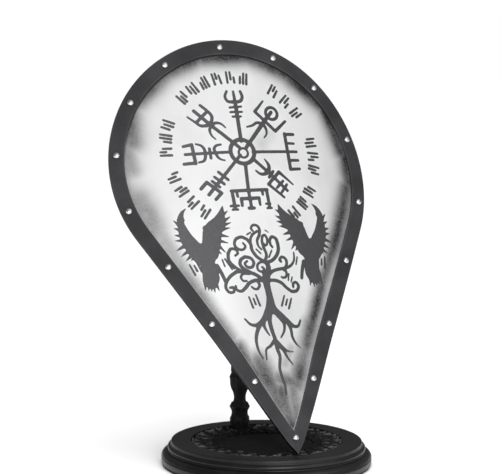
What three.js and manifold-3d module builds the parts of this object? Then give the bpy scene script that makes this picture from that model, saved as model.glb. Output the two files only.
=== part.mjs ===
// Steel kite shield that stands on its tip, leaning back on the carved post of a round black stand.
// Millimetres, +Z up. The origin is the middle of the base's underside, and the shield faces -Y.

import * as THREE from 'three';
import { mergeVertices } from 'three/addons/utils/BufferGeometryUtils.js';
import Module from 'manifold-3d';

const wasm = await Module();
wasm.setup();

// Gap left between pieces that touch
const GAP = 0.3;

// Shield outline: a round head that runs by straight sides to a point
const SHIELD_LENGTH = 610;
const SHIELD_HALF_WIDTH = 195.5;
const ROLL_RADIUS = 820;
const LEAN_DEG = 26.5;

// Plate and the folded band around it
const PLATE_GAUGE = 1.2;
const BAND_GAUGE = 1.5;
const BAND_WIDTH = 22;
const BAND_LIP = 5;
const BAND_EDGE = 0.5;

// Dome rivets, spaced by eye: each share is the way along the band from the top to the tip
const RIVET_HEAD_RADIUS = 4.75;
const RIVET_HEAD_HEIGHT = 3.4;
const RIVET_SHANK_RADIUS = 2;
const RIVET_TAIL_RADIUS = 3.4;
const RIVET_TAIL_HEIGHT = 1.1;
const TOP_RIVET = -0.006;
const RIGHT_RIVETS = [0.11, 0.214, 0.337, 0.471, 0.608, 0.752, 0.873];
const LEFT_RIVETS = [0.131, 0.24, 0.354, 0.469, 0.6, 0.736, 0.87];

// Leather straps on the back, each held down by two welded wire-like bridges
const STRAP_GAUGE = 3.2;
const STRAP_FOOT = 24;
const STRAP_HEIGHT_ON_SHIELD = 402;
const ARM_STRAP = { side: -84, width: 34, halfSpan: 62, rise: 60 };
const GRIP_STRAP = { side: 84, width: 26, halfSpan: 50, rise: 42 };
const BRIDGE_WALL = 3;
const BRIDGE_LENGTH = 8;

// Turned base
const BASE_RADIUS = 146.5;
const BASE_HEIGHT = 34;
const MOULDING_WIDTH = 15;
const BORDER_WIDTH = 26.5;
const FOOT_SETBACK = 4.5;
const BORDER_RADIUS = BASE_RADIUS - MOULDING_WIDTH;
const RECESS_RADIUS = BORDER_RADIUS - BORDER_WIDTH;
const FOOT_RADIUS = BASE_RADIUS - FOOT_SETBACK;
const RECESS_DEPTH = 6;
const BEAD_RADIUS = 3.6;

// Ring of carved leaves on the recess floor
const LEAF_COUNT = 18;
const LEAF_RING_WIDTH = 23;
const LEAF_HEIGHT = 4.6;
const LEAF_BED = 1;

// Where the shield and the post stand on the base
const TIP_INSET = 1;
const SEAT_DEPTH = 2;
const SEAT_SIDE = 1.2;
const POST_FROM_WALL = 13;
const POST_BACK = RECESS_RADIUS - POST_FROM_WALL;
const POST_FOOT_RADIUS = 12.3;
const BALL_RADIUS = 11;
const LOBES = 6;

// Steps of the curved surfaces
const ARC_STEPS = 48;
const SIDE_STEPS = 12;
const BASE_STEPS = 54;
const POST_STEPS = 24;
const RIVET_STEPS = 10;
const STEPS_PER_LEAF = 6;

// Values that follow from the driving sizes
const LEAN = THREE.MathUtils.degToRad(LEAN_DEG);
const HEAD_CENTRE = SHIELD_LENGTH - SHIELD_HALF_WIDTH;
const TIP_HALF_ANGLE = Math.asin(SHIELD_HALF_WIDTH / HEAD_CENTRE);
const PLATE_FRONT = BAND_GAUGE + GAP;
const PLATE_BACK = PLATE_FRONT + PLATE_GAUGE;
const FLOOR = BASE_HEIGHT - RECESS_DEPTH;
const TIP_Y = -(RECESS_RADIUS - TIP_INSET);
const TIP_Z = BASE_HEIGHT - SEAT_DEPTH + GAP + BAND_LIP * Math.sin(LEAN);

// Shared mesh helpers

// A closed skin over equal rows of points: every row is a loop, and the rows are a loop too,
// unless capped, when a fan closes the first and the last row. It is turned to face out.
function skin(rows, capped) {
  const count = rows[0].length;
  const points = rows.flat();
  const faces = [];
  const bands = capped ? rows.length - 1 : rows.length;
  for (let i = 0; i < bands; i++) {
    const next = (i + 1) % rows.length;
    for (let j = 0; j < count; j++) {
      const k = (j + 1) % count;
      const [a, b, c, d] = [i * count + j, i * count + k, next * count + k, next * count + j];
      faces.push([a, b, c], [a, c, d]);
    }
  }
  if (capped) {
    const last = (rows.length - 1) * count;
    for (let j = 1; j < count - 1; j++) {
      faces.push([0, j + 1, j], [last, last + j, last + j + 1]);
    }
  }
  let volume = 0;
  for (const [a, b, c] of faces) {
    volume += points[a].dot(new THREE.Vector3().crossVectors(points[b], points[c]));
  }
  const geometry = new THREE.BufferGeometry().setFromPoints(points);
  geometry.setIndex(faces.flatMap(([a, b, c]) => (volume > 0 ? [a, b, c] : [a, c, b])));
  return geometry;
}

// A profile of [radius, height] pairs turned about the Z axis
function turned(profile, steps) {
  const points = profile.map(([radius, height]) => new THREE.Vector2(radius, height));
  const geometry = new THREE.LatheGeometry(points, steps);
  geometry.rotateX(Math.PI / 2);
  return geometry;
}

// The geometry as a solid that can be joined and cut
function toSolid(geometry) {
  const bare = geometry.clone();
  bare.deleteAttribute('normal');
  bare.deleteAttribute('uv');
  const merged = mergeVertices(bare, 1e-4);
  const triangles = [];
  const index = merged.index.array;
  for (let i = 0; i < index.length; i += 3) {
    const [a, b, c] = [index[i], index[i + 1], index[i + 2]];
    if (a !== b && b !== c && c !== a) triangles.push(a, b, c);
  }
  const vertProperties = new Float32Array(merged.getAttribute('position').array);
  const triVerts = new Uint32Array(triangles);
  return new wasm.Manifold(new wasm.Mesh({ numProp: 3, vertProperties, triVerts }));
}

function fromSolid(solid) {
  const mesh = solid.getMesh();
  const geometry = new THREE.BufferGeometry();
  geometry.setAttribute('position', new THREE.BufferAttribute(new Float32Array(mesh.vertProperties), 3));
  geometry.setIndex(new THREE.BufferAttribute(new Uint32Array(mesh.triVerts), 1));
  geometry.computeVertexNormals();
  return geometry;
}

function cutBy(geometry, tools) {
  let solid = toSolid(geometry);
  for (const tool of tools) solid = solid.subtract(toSolid(tool));
  return fromSolid(solid);
}

function piece(name, geometry, material) {
  const mesh = new THREE.Mesh(geometry, new THREE.MeshStandardMaterial(material));
  mesh.name = name;
  return mesh;
}

// Materials

const BRIGHT_STEEL = { color: 0xe6e7e8, roughness: 0.32, metalness: 1 };
const BLACKENED_STEEL = { color: 0x3c3c3e, roughness: 0.5, metalness: 0.8 };
const RIVET_STEEL = { color: 0xf2f2f2, roughness: 0.15, metalness: 1 };
const BLACK_LACQUER = { color: 0x101011, roughness: 0.35, metalness: 0 };
const BROWN_LEATHER = { color: 0x4a2c1a, roughness: 0.7, metalness: 0 };

// The shield's surface: the flat pattern rolled about an upright axis behind it.
// u runs across the front, v up from the tip, and depth goes from the band's face to the back.

function onShell(u, v, depth) {
  const turn = u / ROLL_RADIUS;
  const radius = ROLL_RADIUS - depth;
  return new THREE.Vector3(radius * Math.sin(turn), ROLL_RADIUS - radius * Math.cos(turn), v);
}

// A group that stands on the shell at u, v, with +X along the surface and +Y into the back
function shellGroup(u, v, depth) {
  const group = new THREE.Group();
  group.position.copy(onShell(u, v, depth));
  group.rotation.z = u / ROLL_RADIUS;
  return group;
}

// The teardrop outline set in by a distance: tip, right side, round head, left side
function teardrop(inset) {
  const radius = SHIELD_HALF_WIDTH - inset;
  const tip = [0, inset / Math.sin(TIP_HALF_ANGLE)];
  const shoulder = [
    radius * Math.cos(TIP_HALF_ANGLE),
    HEAD_CENTRE - radius * Math.sin(TIP_HALF_ANGLE),
  ];
  const points = [];
  for (let i = 0; i < SIDE_STEPS; i++) {
    const way = i / SIDE_STEPS;
    points.push([shoulder[0] * way, tip[1] + (shoulder[1] - tip[1]) * way]);
  }
  const sweep = Math.PI + 2 * TIP_HALF_ANGLE;
  for (let i = 0; i <= ARC_STEPS; i++) {
    const angle = -TIP_HALF_ANGLE + (sweep * i) / ARC_STEPS;
    points.push([radius * Math.cos(angle), HEAD_CENTRE + radius * Math.sin(angle)]);
  }
  for (let i = SIDE_STEPS - 1; i > 0; i--) {
    const way = i / SIDE_STEPS;
    points.push([-shoulder[0] * way, tip[1] + (shoulder[1] - tip[1]) * way]);
  }
  return points;
}

// A point on the band's middle line, by its share of the way from the top to the tip
function onBand(share) {
  const inset = BAND_WIDTH / 2;
  const radius = SHIELD_HALF_WIDTH - inset;
  const arc = radius * (Math.PI / 2 + TIP_HALF_ANGLE);
  const tip = inset / Math.sin(TIP_HALF_ANGLE);
  const side = (HEAD_CENTRE - tip) * Math.cos(TIP_HALF_ANGLE);
  const way = share * (arc + side);
  if (way < arc) {
    const angle = Math.PI / 2 - way / radius;
    return [radius * Math.cos(angle), HEAD_CENTRE + radius * Math.sin(angle)];
  }
  const left = arc + side - way;
  return [left * Math.sin(TIP_HALF_ANGLE), tip + left * Math.cos(TIP_HALF_ANGLE)];
}

// Plate: upright strips, each between the lower and the upper edge of the outline
function plateGeometry() {
  const inset = BAND_GAUGE + GAP;
  const radius = SHIELD_HALF_WIDTH - inset;
  const tip = inset / Math.sin(TIP_HALF_ANGLE);
  const shoulder = Math.PI / 2 - TIP_HALF_ANGLE;
  const lastAngle = THREE.MathUtils.degToRad(86);
  const innerStrips = 12;
  const outerStrips = 5;
  const angles = [];
  for (let i = 0; i < innerStrips; i++) angles.push((shoulder * i) / innerStrips);
  for (let i = 0; i <= outerStrips; i++) {
    angles.push(shoulder + ((lastAngle - shoulder) * i) / outerStrips);
  }
  const bothSides = [...angles.slice(1).reverse().map((angle) => -angle), ...angles];
  const rows = bothSides.map((angle) => {
    const u = radius * Math.sin(angle);
    const high = HEAD_CENTRE + radius * Math.cos(angle);
    const straight = Math.abs(angle) < shoulder;
    const low = straight
      ? tip + Math.abs(u) / Math.tan(TIP_HALF_ANGLE)
      : HEAD_CENTRE - radius * Math.cos(angle);
    return [
      onShell(u, low, PLATE_FRONT),
      onShell(u, high, PLATE_FRONT),
      onShell(u, high, PLATE_BACK),
      onShell(u, low, PLATE_BACK),
    ];
  });
  return skin(rows, true);
}

// Band: an angle section carried around the outline, its face in front and its lip turned back
function bandGeometry() {
  const section = [
    [BAND_EDGE, 0],
    [BAND_WIDTH, 0],
    [BAND_WIDTH, BAND_GAUGE],
    [BAND_GAUGE, BAND_GAUGE],
    [BAND_GAUGE, BAND_LIP],
    [0, BAND_LIP],
    [0, BAND_EDGE],
  ];
  const rows = section.map(([inset, depth]) => teardrop(inset).map(([u, v]) => onShell(u, v, depth)));
  return skin(rows, false);
}

const rivetPlaces = [
  onBand(TOP_RIVET),
  ...RIGHT_RIVETS.map(onBand),
  onBand(1),
  ...LEFT_RIVETS.map(onBand).map(([u, v]) => [-u, v]).reverse(),
];

// A round bar along the shell's normal at u, v, for the holes
function rivetHole([u, v]) {
  const length = 4 * BAND_LIP;
  const bar = new THREE.CylinderGeometry(RIVET_SHANK_RADIUS + GAP, RIVET_SHANK_RADIUS + GAP, length, 8);
  const group = shellGroup(u, v, 0);
  group.updateMatrix();
  bar.applyMatrix4(group.matrix);
  return bar;
}

// A domed head, a shank through band and plate, and a tail hammered flat on the back
function rivetGeometry() {
  const profile = [[0, -RIVET_HEAD_HEIGHT - GAP]];
  const domeSteps = 3;
  for (let i = 1; i <= domeSteps; i++) {
    const angle = (Math.PI / 2) * (i / domeSteps);
    profile.push([
      RIVET_HEAD_RADIUS * Math.sin(angle),
      -RIVET_HEAD_HEIGHT * Math.cos(angle) - GAP,
    ]);
  }
  const tail = PLATE_BACK + GAP;
  profile.push([RIVET_SHANK_RADIUS, -GAP]);
  profile.push([RIVET_SHANK_RADIUS, tail]);
  profile.push([RIVET_TAIL_RADIUS, tail]);
  profile.push([RIVET_TAIL_RADIUS * 0.8, tail + RIVET_TAIL_HEIGHT]);
  profile.push([0, tail + RIVET_TAIL_HEIGHT]);
  const points = profile.map(([radius, height]) => new THREE.Vector2(radius, height));
  return new THREE.LatheGeometry(points, RIVET_STEPS);
}

// Straps: a strip with a flat foot at each end and an arch between them

function strapGeometry({ width, halfSpan, rise }) {
  const archSteps = 14;
  const squareness = 0.75;
  const arch = (span, height, base) => {
    const points = [];
    for (let i = 0; i <= archSteps; i++) {
      const angle = (Math.PI * i) / archSteps;
      const across = Math.sign(Math.cos(angle)) * Math.abs(Math.cos(angle)) ** squareness;
      points.push([span * across, base + height * Math.sin(angle) ** squareness]);
    }
    return points;
  };
  const end = halfSpan + STRAP_FOOT;
  const inner = arch(halfSpan - STRAP_GAUGE, rise - STRAP_GAUGE, 0);
  const outer = arch(halfSpan, rise - STRAP_GAUGE, STRAP_GAUGE).reverse();
  const outline = [[end, 0], ...inner, [-end, 0], [-end, STRAP_GAUGE], ...outer, [end, STRAP_GAUGE]];
  const shape = new THREE.Shape(outline.map(([along, out]) => new THREE.Vector2(along, out)));
  const geometry = new THREE.ExtrudeGeometry(shape, { depth: width, bevelEnabled: false, steps: 1 });
  geometry.translate(0, 0, -width / 2);
  const upright = new THREE.Matrix4().makeBasis(
    new THREE.Vector3(0, 0, 1),
    new THREE.Vector3(0, 1, 0),
    new THREE.Vector3(-1, 0, 0),
  );
  geometry.applyMatrix4(upright);
  return geometry;
}

// A bridge over a strap's foot: two legs and a bar
function bridgeGeometry({ width }) {
  const inside = width / 2 + 2 * GAP;
  const outside = inside + BRIDGE_WALL;
  const under = STRAP_GAUGE + GAP;
  const over = under + BRIDGE_WALL;
  const shape = new THREE.Shape();
  shape.moveTo(-outside, 0);
  shape.lineTo(-inside, 0);
  shape.lineTo(-inside, under);
  shape.lineTo(inside, under);
  shape.lineTo(inside, 0);
  shape.lineTo(outside, 0);
  shape.lineTo(outside, over - BRIDGE_WALL / 2);
  shape.lineTo(outside - BRIDGE_WALL / 2, over);
  shape.lineTo(-outside + BRIDGE_WALL / 2, over);
  shape.lineTo(-outside, over - BRIDGE_WALL / 2);
  const geometry = new THREE.ExtrudeGeometry(shape, { depth: BRIDGE_LENGTH, bevelEnabled: false, steps: 1 });
  geometry.translate(0, 0, -BRIDGE_LENGTH / 2);
  return geometry;
}

// A strap and its two bridges stand clear of the hollow back by the rise of its curve
function strapWithBridges(strapName, bridgeNames, strap) {
  const reach = strap.width / 2 + 2 * GAP + BRIDGE_WALL;
  const hollow = reach ** 2 / (2 * (ROLL_RADIUS - PLATE_BACK));
  const group = shellGroup(strap.side, STRAP_HEIGHT_ON_SHIELD, PLATE_BACK + GAP + hollow);
  group.add(piece(strapName, strapGeometry(strap), BROWN_LEATHER));
  const middleOfFoot = strap.halfSpan + STRAP_FOOT / 2;
  bridgeNames.forEach((name, i) => {
    const bridge = piece(name, bridgeGeometry(strap), BLACKENED_STEEL);
    bridge.position.z = i === 0 ? middleOfFoot : -middleOfFoot;
    group.add(bridge);
  });
  return group;
}

// Base: a turned disc with a bead and a bold roll, a sunk floor, and leaves carved round its edge

function baseProfile() {
  const waist = BORDER_RADIUS + BEAD_RADIUS;
  const beadMiddle = BASE_HEIGHT - 9.6;
  const rollTop = beadMiddle - BEAD_RADIUS - 1;
  const profile = [
    [0, 0],
    [FOOT_RADIUS, 0],
    [BASE_RADIUS - 0.6, 2.4],
    [BASE_RADIUS, 5],
    [BASE_RADIUS, 11],
    [BASE_RADIUS - 1, 12.2],
    [BASE_RADIUS - 0.4, 13.4],
    [BASE_RADIUS - 2, rollTop - 3],
    [BASE_RADIUS - 5, rollTop - 0.6],
    [waist + 2.4, rollTop],
  ];
  for (const degrees of [-60, 0, 60]) {
    const angle = THREE.MathUtils.degToRad(degrees);
    profile.push([waist - 1 + BEAD_RADIUS * Math.cos(angle), beadMiddle + BEAD_RADIUS * Math.sin(angle)]);
  }
  profile.push([BORDER_RADIUS + 1, BASE_HEIGHT - 5]);
  profile.push([BORDER_RADIUS + 1.6, BASE_HEIGHT - 4.2]);
  profile.push([BORDER_RADIUS + 1, BASE_HEIGHT - 1]);
  profile.push([BORDER_RADIUS, BASE_HEIGHT]);
  profile.push([RECESS_RADIUS, BASE_HEIGHT]);
  profile.push([RECESS_RADIUS, FLOOR]);
  profile.push([0, FLOOR]);
  return profile;
}

// Height of the carved leaves over the floor: slanting lobes, high in the middle of the ring
function leafHeight(angle, across) {
  const slant = 1.1;
  const lobe = Math.abs(Math.sin((LEAF_COUNT * angle) / 2 + slant * across)) ** 0.7;
  const hump = Math.sin(Math.PI * Math.min(1, 0.12 + 0.8 * across)) ** 0.6;
  return LEAF_HEIGHT * hump * (0.35 + 0.65 * lobe);
}

function leafRing() {
  const outer = RECESS_RADIUS - GAP;
  const inner = outer - LEAF_RING_WIDTH;
  const acrossSteps = 5;
  const profile = [[inner, FLOOR - LEAF_BED]];
  for (let i = 0; i <= acrossSteps; i++) {
    profile.push([inner + (LEAF_RING_WIDTH * i) / acrossSteps, FLOOR]);
  }
  profile.push([outer, FLOOR - LEAF_BED], profile[0]);
  const geometry = turned(profile.reverse(), LEAF_COUNT * STEPS_PER_LEAF);
  const position = geometry.getAttribute('position');
  for (let i = 0; i < position.count; i++) {
    if (position.getZ(i) < FLOOR - LEAF_BED / 2) continue;
    const angle = Math.atan2(position.getY(i), position.getX(i));
    const radius = Math.hypot(position.getX(i), position.getY(i));
    const across = (radius - inner) / LEAF_RING_WIDTH;
    position.setZ(i, FLOOR + leafHeight(angle, across));
  }
  return geometry;
}

function baseGeometry() {
  const tipLength = BAND_LIP * Math.cos(LEAN) + 2 * SEAT_SIDE;
  const seat = new THREE.BoxGeometry(2 * (SEAT_DEPTH + SEAT_SIDE), tipLength, 2 * SEAT_DEPTH);
  seat.translate(0, TIP_Y - SEAT_SIDE + tipLength / 2, BASE_HEIGHT);
  const footHole = turned(
    [[0, FLOOR], [POST_FOOT_RADIUS + GAP, FLOOR], [POST_FOOT_RADIUS + GAP, BASE_HEIGHT], [0, BASE_HEIGHT]],
    POST_STEPS,
  );
  footHole.translate(0, POST_BACK, 0);
  const disc = toSolid(turned(baseProfile(), BASE_STEPS));
  const carved = disc.add(toSolid(leafRing()));
  return fromSolid(carved.subtract(toSolid(seat)).subtract(toSolid(footHole)));
}

// Post: a carved baluster whose ball top carries the shield's back

// Height of the ball's middle over the base's underside, from where the leaning back meets it
function ballHeight() {
  const behind = (POST_BACK - TIP_Y) * Math.cos(LEAN);
  return TIP_Z + (behind - PLATE_BACK - GAP - BALL_RADIUS) / Math.sin(LEAN);
}

// Stations of the post's outline, as a radius and a height in radii of its foot
function postProfile() {
  const bottom = FLOOR + GAP;
  const foot = [
    [1, 0],
    [1, 0.73],
    [1.065, 1.06],
    [1.08, 1.54],
    [0.943, 1.95],
    [0.927, 2.36],
    [1.1, 2.8],
    [1.073, 3.05],
    [0.83, 3.5],
    [0.748, 3.86],
    [0.78, 4.31],
    [0.943, 4.88],
    [1.073, 5.45],
    [1.106, 6.1],
    [1.154, 6.42],
    [1.057, 6.67],
    [1.024, 7.48],
    [0.91, 8.62],
    [0.732, 10.57],
  ];
  const neck = [
    [0.618, -6.83],
    [0.667, -3.74],
    [0.927, -3.01],
    [1.008, -2.6],
    [0.927, -2.2],
    [0.602, -1.79],
    [0.537, -1.22],
  ];
  const middle = ballHeight();
  const profile = [[0, bottom]];
  for (const [radius, height] of foot) {
    profile.push([POST_FOOT_RADIUS * radius, bottom + POST_FOOT_RADIUS * height]);
  }
  for (const [radius, height] of neck) {
    profile.push([POST_FOOT_RADIUS * radius, middle + POST_FOOT_RADIUS * height]);
  }
  for (const degrees of [-48, -24, 0, 24, 48, 69]) {
    const angle = THREE.MathUtils.degToRad(degrees);
    profile.push([BALL_RADIUS * Math.cos(angle), middle + BALL_RADIUS * Math.sin(angle)]);
  }
  profile.push([0, middle + BALL_RADIUS]);
  return profile;
}

// Depth of the carving at a height over the floor, both in radii of the foot: leaf lobes low down,
// then fading flutes
function carvingDepth(height) {
  const leaves = Math.max(0, 1 - Math.abs(height - 2.2) / 1.55);
  const flutes = Math.max(0, 1 - Math.abs(height - 6.83) / 2.93);
  return 0.114 * leaves + 0.057 * flutes;
}

function postGeometry() {
  const geometry = turned(postProfile(), POST_STEPS);
  const position = geometry.getAttribute('position');
  for (let i = 0; i < position.count; i++) {
    const [x, y] = [position.getX(i), position.getY(i)];
    const radius = Math.hypot(x, y);
    if (radius < 1) continue;
    const lobe = 0.5 - 0.5 * Math.cos(LOBES * Math.atan2(y, x));
    const depth = POST_FOOT_RADIUS * carvingDepth((position.getZ(i) - FLOOR) / POST_FOOT_RADIUS);
    const scale = 1 - (depth * lobe) / radius;
    position.setX(i, x * scale);
    position.setY(i, y * scale);
  }
  return geometry;
}

// Assembly

const shield = new THREE.Group();
shield.position.set(0, TIP_Y, TIP_Z);
shield.rotation.x = -LEAN;
const holes = rivetPlaces.map(rivetHole);
shield.add(piece('shield_plate', cutBy(plateGeometry(), holes), BRIGHT_STEEL));
shield.add(piece('rim_band', cutBy(bandGeometry(), holes), BLACKENED_STEEL));
rivetPlaces.forEach(([u, v], i) => {
  const place = shellGroup(u, v, 0);
  place.add(piece(`rivet_${String(i + 1).padStart(2, '0')}`, rivetGeometry(), RIVET_STEEL));
  shield.add(place);
});
shield.add(strapWithBridges('arm_strap', ['arm_bridge_upper', 'arm_bridge_lower'], ARM_STRAP));
shield.add(strapWithBridges('grip_strap', ['grip_bridge_upper', 'grip_bridge_lower'], GRIP_STRAP));

const post = piece('stand_post', postGeometry(), BLACK_LACQUER);
post.position.y = POST_BACK;

const object = new THREE.Group();
object.add(piece('stand_base', baseGeometry(), BLACK_LACQUER));
object.add(post);
object.add(shield);

export default object;
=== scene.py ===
"""Dresses a kite shield on its stand: rolled steel plate with painted figures, riveted band,
leather straps, turned and carved base and post. Metres; the shield faces -Y."""

import math

import bpy
import numpy as np
from bpy.props import FloatProperty, FloatVectorProperty, IntProperty, PointerProperty
from mathutils import Matrix, Vector


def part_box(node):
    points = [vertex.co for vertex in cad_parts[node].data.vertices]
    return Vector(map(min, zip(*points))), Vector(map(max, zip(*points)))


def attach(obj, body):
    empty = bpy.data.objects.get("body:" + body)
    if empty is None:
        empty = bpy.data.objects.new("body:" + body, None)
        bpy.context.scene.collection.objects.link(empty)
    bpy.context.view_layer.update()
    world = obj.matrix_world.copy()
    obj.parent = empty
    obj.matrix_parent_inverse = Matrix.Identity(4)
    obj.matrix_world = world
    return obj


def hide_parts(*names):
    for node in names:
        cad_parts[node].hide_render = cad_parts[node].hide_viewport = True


bl_info = {
    "name": "Kite Shield on a Stand",
    "version": (1, 0, 0),
    "blender": (4, 5, 0),
    "location": "View3D > Sidebar > Kite Shield",
    "description": "Builds the shield, its painted figures, its straps and its carved stand",
    "category": "Object",
}

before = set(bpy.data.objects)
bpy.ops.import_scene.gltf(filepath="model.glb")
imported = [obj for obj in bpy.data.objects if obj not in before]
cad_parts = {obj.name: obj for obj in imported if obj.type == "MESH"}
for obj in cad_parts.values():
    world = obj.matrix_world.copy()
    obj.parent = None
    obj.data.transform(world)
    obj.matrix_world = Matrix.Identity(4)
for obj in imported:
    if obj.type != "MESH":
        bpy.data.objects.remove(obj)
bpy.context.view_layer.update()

MM = 0.001

# The solids' boxes place the pieces; the band's lip and fold lead from its box to the shield's tip
LIP_DEPTH = 5.0 * MM
FOLD_EDGE = 0.5 * MM
LEAN = math.radians(26.5)
BAND_LOW, _ = (Vector(corner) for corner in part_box("rim_band"))
_, BASE_HIGH = (Vector(corner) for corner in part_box("stand_base"))
POST_LOW, POST_HIGH = (Vector(corner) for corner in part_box("stand_post"))
TIP_Y = BAND_LOW.y - FOLD_EDGE * math.cos(LEAN)
TIP_Z = BAND_LOW.z + LIP_DEPTH * math.sin(LEAN)


def length(name, description, default):
    return FloatProperty(name=name, description=description, default=default, unit="LENGTH", precision=4)


def angle(name, description, degrees):
    return FloatProperty(name=name, description=description, default=math.radians(degrees), subtype="ANGLE")


def number(name, description, default):
    return FloatProperty(name=name, description=description, default=default)


def colour(name, description, default):
    return FloatVectorProperty(
        name=name, description=description, default=default, subtype="COLOR", size=4, min=0.0, max=1.0
    )


class KiteShieldSizes(bpy.types.PropertyGroup):
    """Sizes of the shield as in the solids, and how far its lines drop near the tip"""

    height: length("Length", "From the tip to the top, along the plate", 610 * MM)
    half_width: length("Half width", "Radius of the round head", 195.5 * MM)
    roll: length("Roll radius", "Radius of the plate's curve across its width", 820 * MM)
    band_width: length("Band width", "Width of the band's face", 22 * MM)
    band_gauge: length("Band gauge", "Thickness of the band", 1.5 * MM)
    lip: length("Lip depth", "How far the band is folded back over the plate's edge", LIP_DEPTH)
    swell: length("Swell", "How far the outline drops beside the tip", 5 * MM)
    reach_down: length("Reach down", "How far the band's inner edge drops at the tip", 8.5 * MM)
    settled_from: length("Settled from", "Height above the tip where the drop begins to fade", 60 * MM)
    settled_to: length("Settled to", "Height above the tip where the drop ends", 170 * MM)
    plate_gauge: length("Plate gauge", "Thickness of the plate", 1.2 * MM)
    gap: length("Gap", "Space left between touching pieces", 0.3 * MM)
    rivet_radius: length("Rivet radius", "Radius of a rivet's dome", 4.75 * MM)
    rivet_height: length("Rivet height", "Height of a rivet's dome", 3.4 * MM)
    columns: IntProperty(name="Columns", description="Plate cells across the front", default=250)
    rows: IntProperty(name="Rows", description="Plate cells from bottom to top", default=350)


class KiteShieldPaint(bpy.types.PropertyGroup):
    """Sizes of the painted figures, measured on the flat plate"""

    ring: length("Compass ring", "Middle radius of the compass's ring", 18 * MM)
    ring_line: length("Ring line", "Width of the compass's ring", 5.8 * MM)
    compass_height: length("Compass height", "Height of the compass's middle above the tip", 440 * MM)
    axis: length("Compass place", "How far right of the plate's middle the compass stands", 2 * MM)
    marks_ring: length("Ring of marks", "Radius of the ring of marks around the compass", 113 * MM)
    marks_line: length("Mark line", "Width of the marks' strokes", 3.6 * MM)


class KiteShieldFinish(bpy.types.PropertyGroup):
    """Colours of the finishes"""

    plate: colour("Plate steel", "Bright steel of the plate", (0.86, 0.86, 0.865, 1))
    burnish: colour("Burnish", "Dark clouds near the plate's rim", (0.045, 0.045, 0.047, 1))
    paint: colour("Paint", "Grey of the painted figures", (0.053, 0.053, 0.056, 1))
    band: colour("Band steel", "Blackened steel of the band", (0.031, 0.031, 0.033, 1))
    rivet: colour("Rivet steel", "Polished steel of the rivets", (0.74, 0.74, 0.74, 1))
    lacquer: colour("Lacquer", "Black lacquer of the stand", (0.004, 0.004, 0.0045, 1))
    lacquer_worn: colour("Dull lacquer", "Lacquer where it has dulled", (0.016, 0.016, 0.017, 1))
    # Also painted highlight: on the leaf tops this grey stands in for glints as well as rubbed wear
    lacquer_rubbed_highlight: colour("Rubbed lacquer", "Lacquer rubbed thin on the carving", (0.085, 0.085, 0.088, 1))
    leather: colour("Leather", "Brown leather of the straps", (0.09, 0.036, 0.015, 1))
    thread: colour("Thread", "Waxed thread of the stitches", (0.42, 0.33, 0.2, 1))


class KiteShieldStand(bpy.types.PropertyGroup):
    """Sizes of the base and the post as in the solids, but for a wider ring of taller leaves"""

    radius: length("Base radius", "Widest radius of the base", BASE_HIGH.x)
    height: length("Base height", "Height of the base", BASE_HIGH.z)
    border: length("Border radius", "Outer radius of the base's flat border", 131.5 * MM)
    recess: length("Recess radius", "Radius of the sunk floor", 105 * MM)
    recess_depth: length("Recess depth", "Depth of the sunk floor", 6 * MM)
    leaf_ring: length("Leaf ring", "Width of the ring of carved leaves", 44 * MM)
    leaf_height: length("Leaf height", "Height of the carved leaves", 6.2 * MM)
    post_back: length("Post place", "How far behind the base's middle the post stands", 92 * MM)
    ball: length("Ball radius", "Radius of the post's ball", 11 * MM)


class KiteShieldStage(bpy.types.PropertyGroup):
    """Camera and light"""

    azimuth: angle("Azimuth", "Where the camera stands around the base", -24.854)
    elevation: angle("Elevation", "How high the camera stands", 12.49)
    distance: length("Distance", "From the middle of the base's top to the camera", 3.3007)
    turn: angle("Turn", "How far the camera looks right of the base", -0.4487)
    pitch: angle("Pitch", "How far the camera looks above the base's top", 4.892)
    roll: angle("Roll", "Turn of the camera about the way it looks", 0.4748)
    lens: number("Lens", "Focal length in millimetres", 170.18)
    world: number("World strength", "Brightness of the surroundings as light", 0.14)
    backdrop: number("Backdrop", "Brightness of the surroundings when seen", 0.85)


# Meshes from numpy arrays


def grid_quads(rows, columns, start=0, wrap_rows=False, wrap_columns=False):
    """Quads over a grid of numbered points, row by row, joined round where it wraps."""
    i = np.arange(rows if wrap_rows else rows - 1)
    j = np.arange(columns if wrap_columns else columns - 1)
    i, j = (a.ravel() for a in np.meshgrid(i, j, indexing="ij"))
    below, right = (i + 1) % rows, (j + 1) % columns
    corners = (i * columns + j, i * columns + right, below * columns + right, below * columns + j)
    return np.stack(corners, axis=1) + start


def fan(centre, loop, flip=False):
    """Triangles from one point to each step of a closed loop of points."""
    after = np.roll(loop, -1)
    pair = (after, loop) if flip else (loop, after)
    return np.stack([np.full(len(loop), centre), *pair], axis=1)


def capped_tube(rings, first=None, last=None):
    """Rings of points joined into one closed skin, a fan closing each end at its middle or a given point."""
    rows, columns = rings.shape[:2]
    first = rings[0].mean(axis=0) if first is None else first
    last = rings[-1].mean(axis=0) if last is None else last
    points = np.concatenate([rings.reshape(-1, 3), [first], [last]])
    quads = grid_quads(rows, columns, wrap_columns=True)
    around = np.arange(columns)
    start_fan = fan(len(points) - 2, around, flip=True)
    end_fan = fan(len(points) - 1, (rows - 1) * columns + around)
    return points, quads, np.concatenate([start_fan, end_fan])


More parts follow.
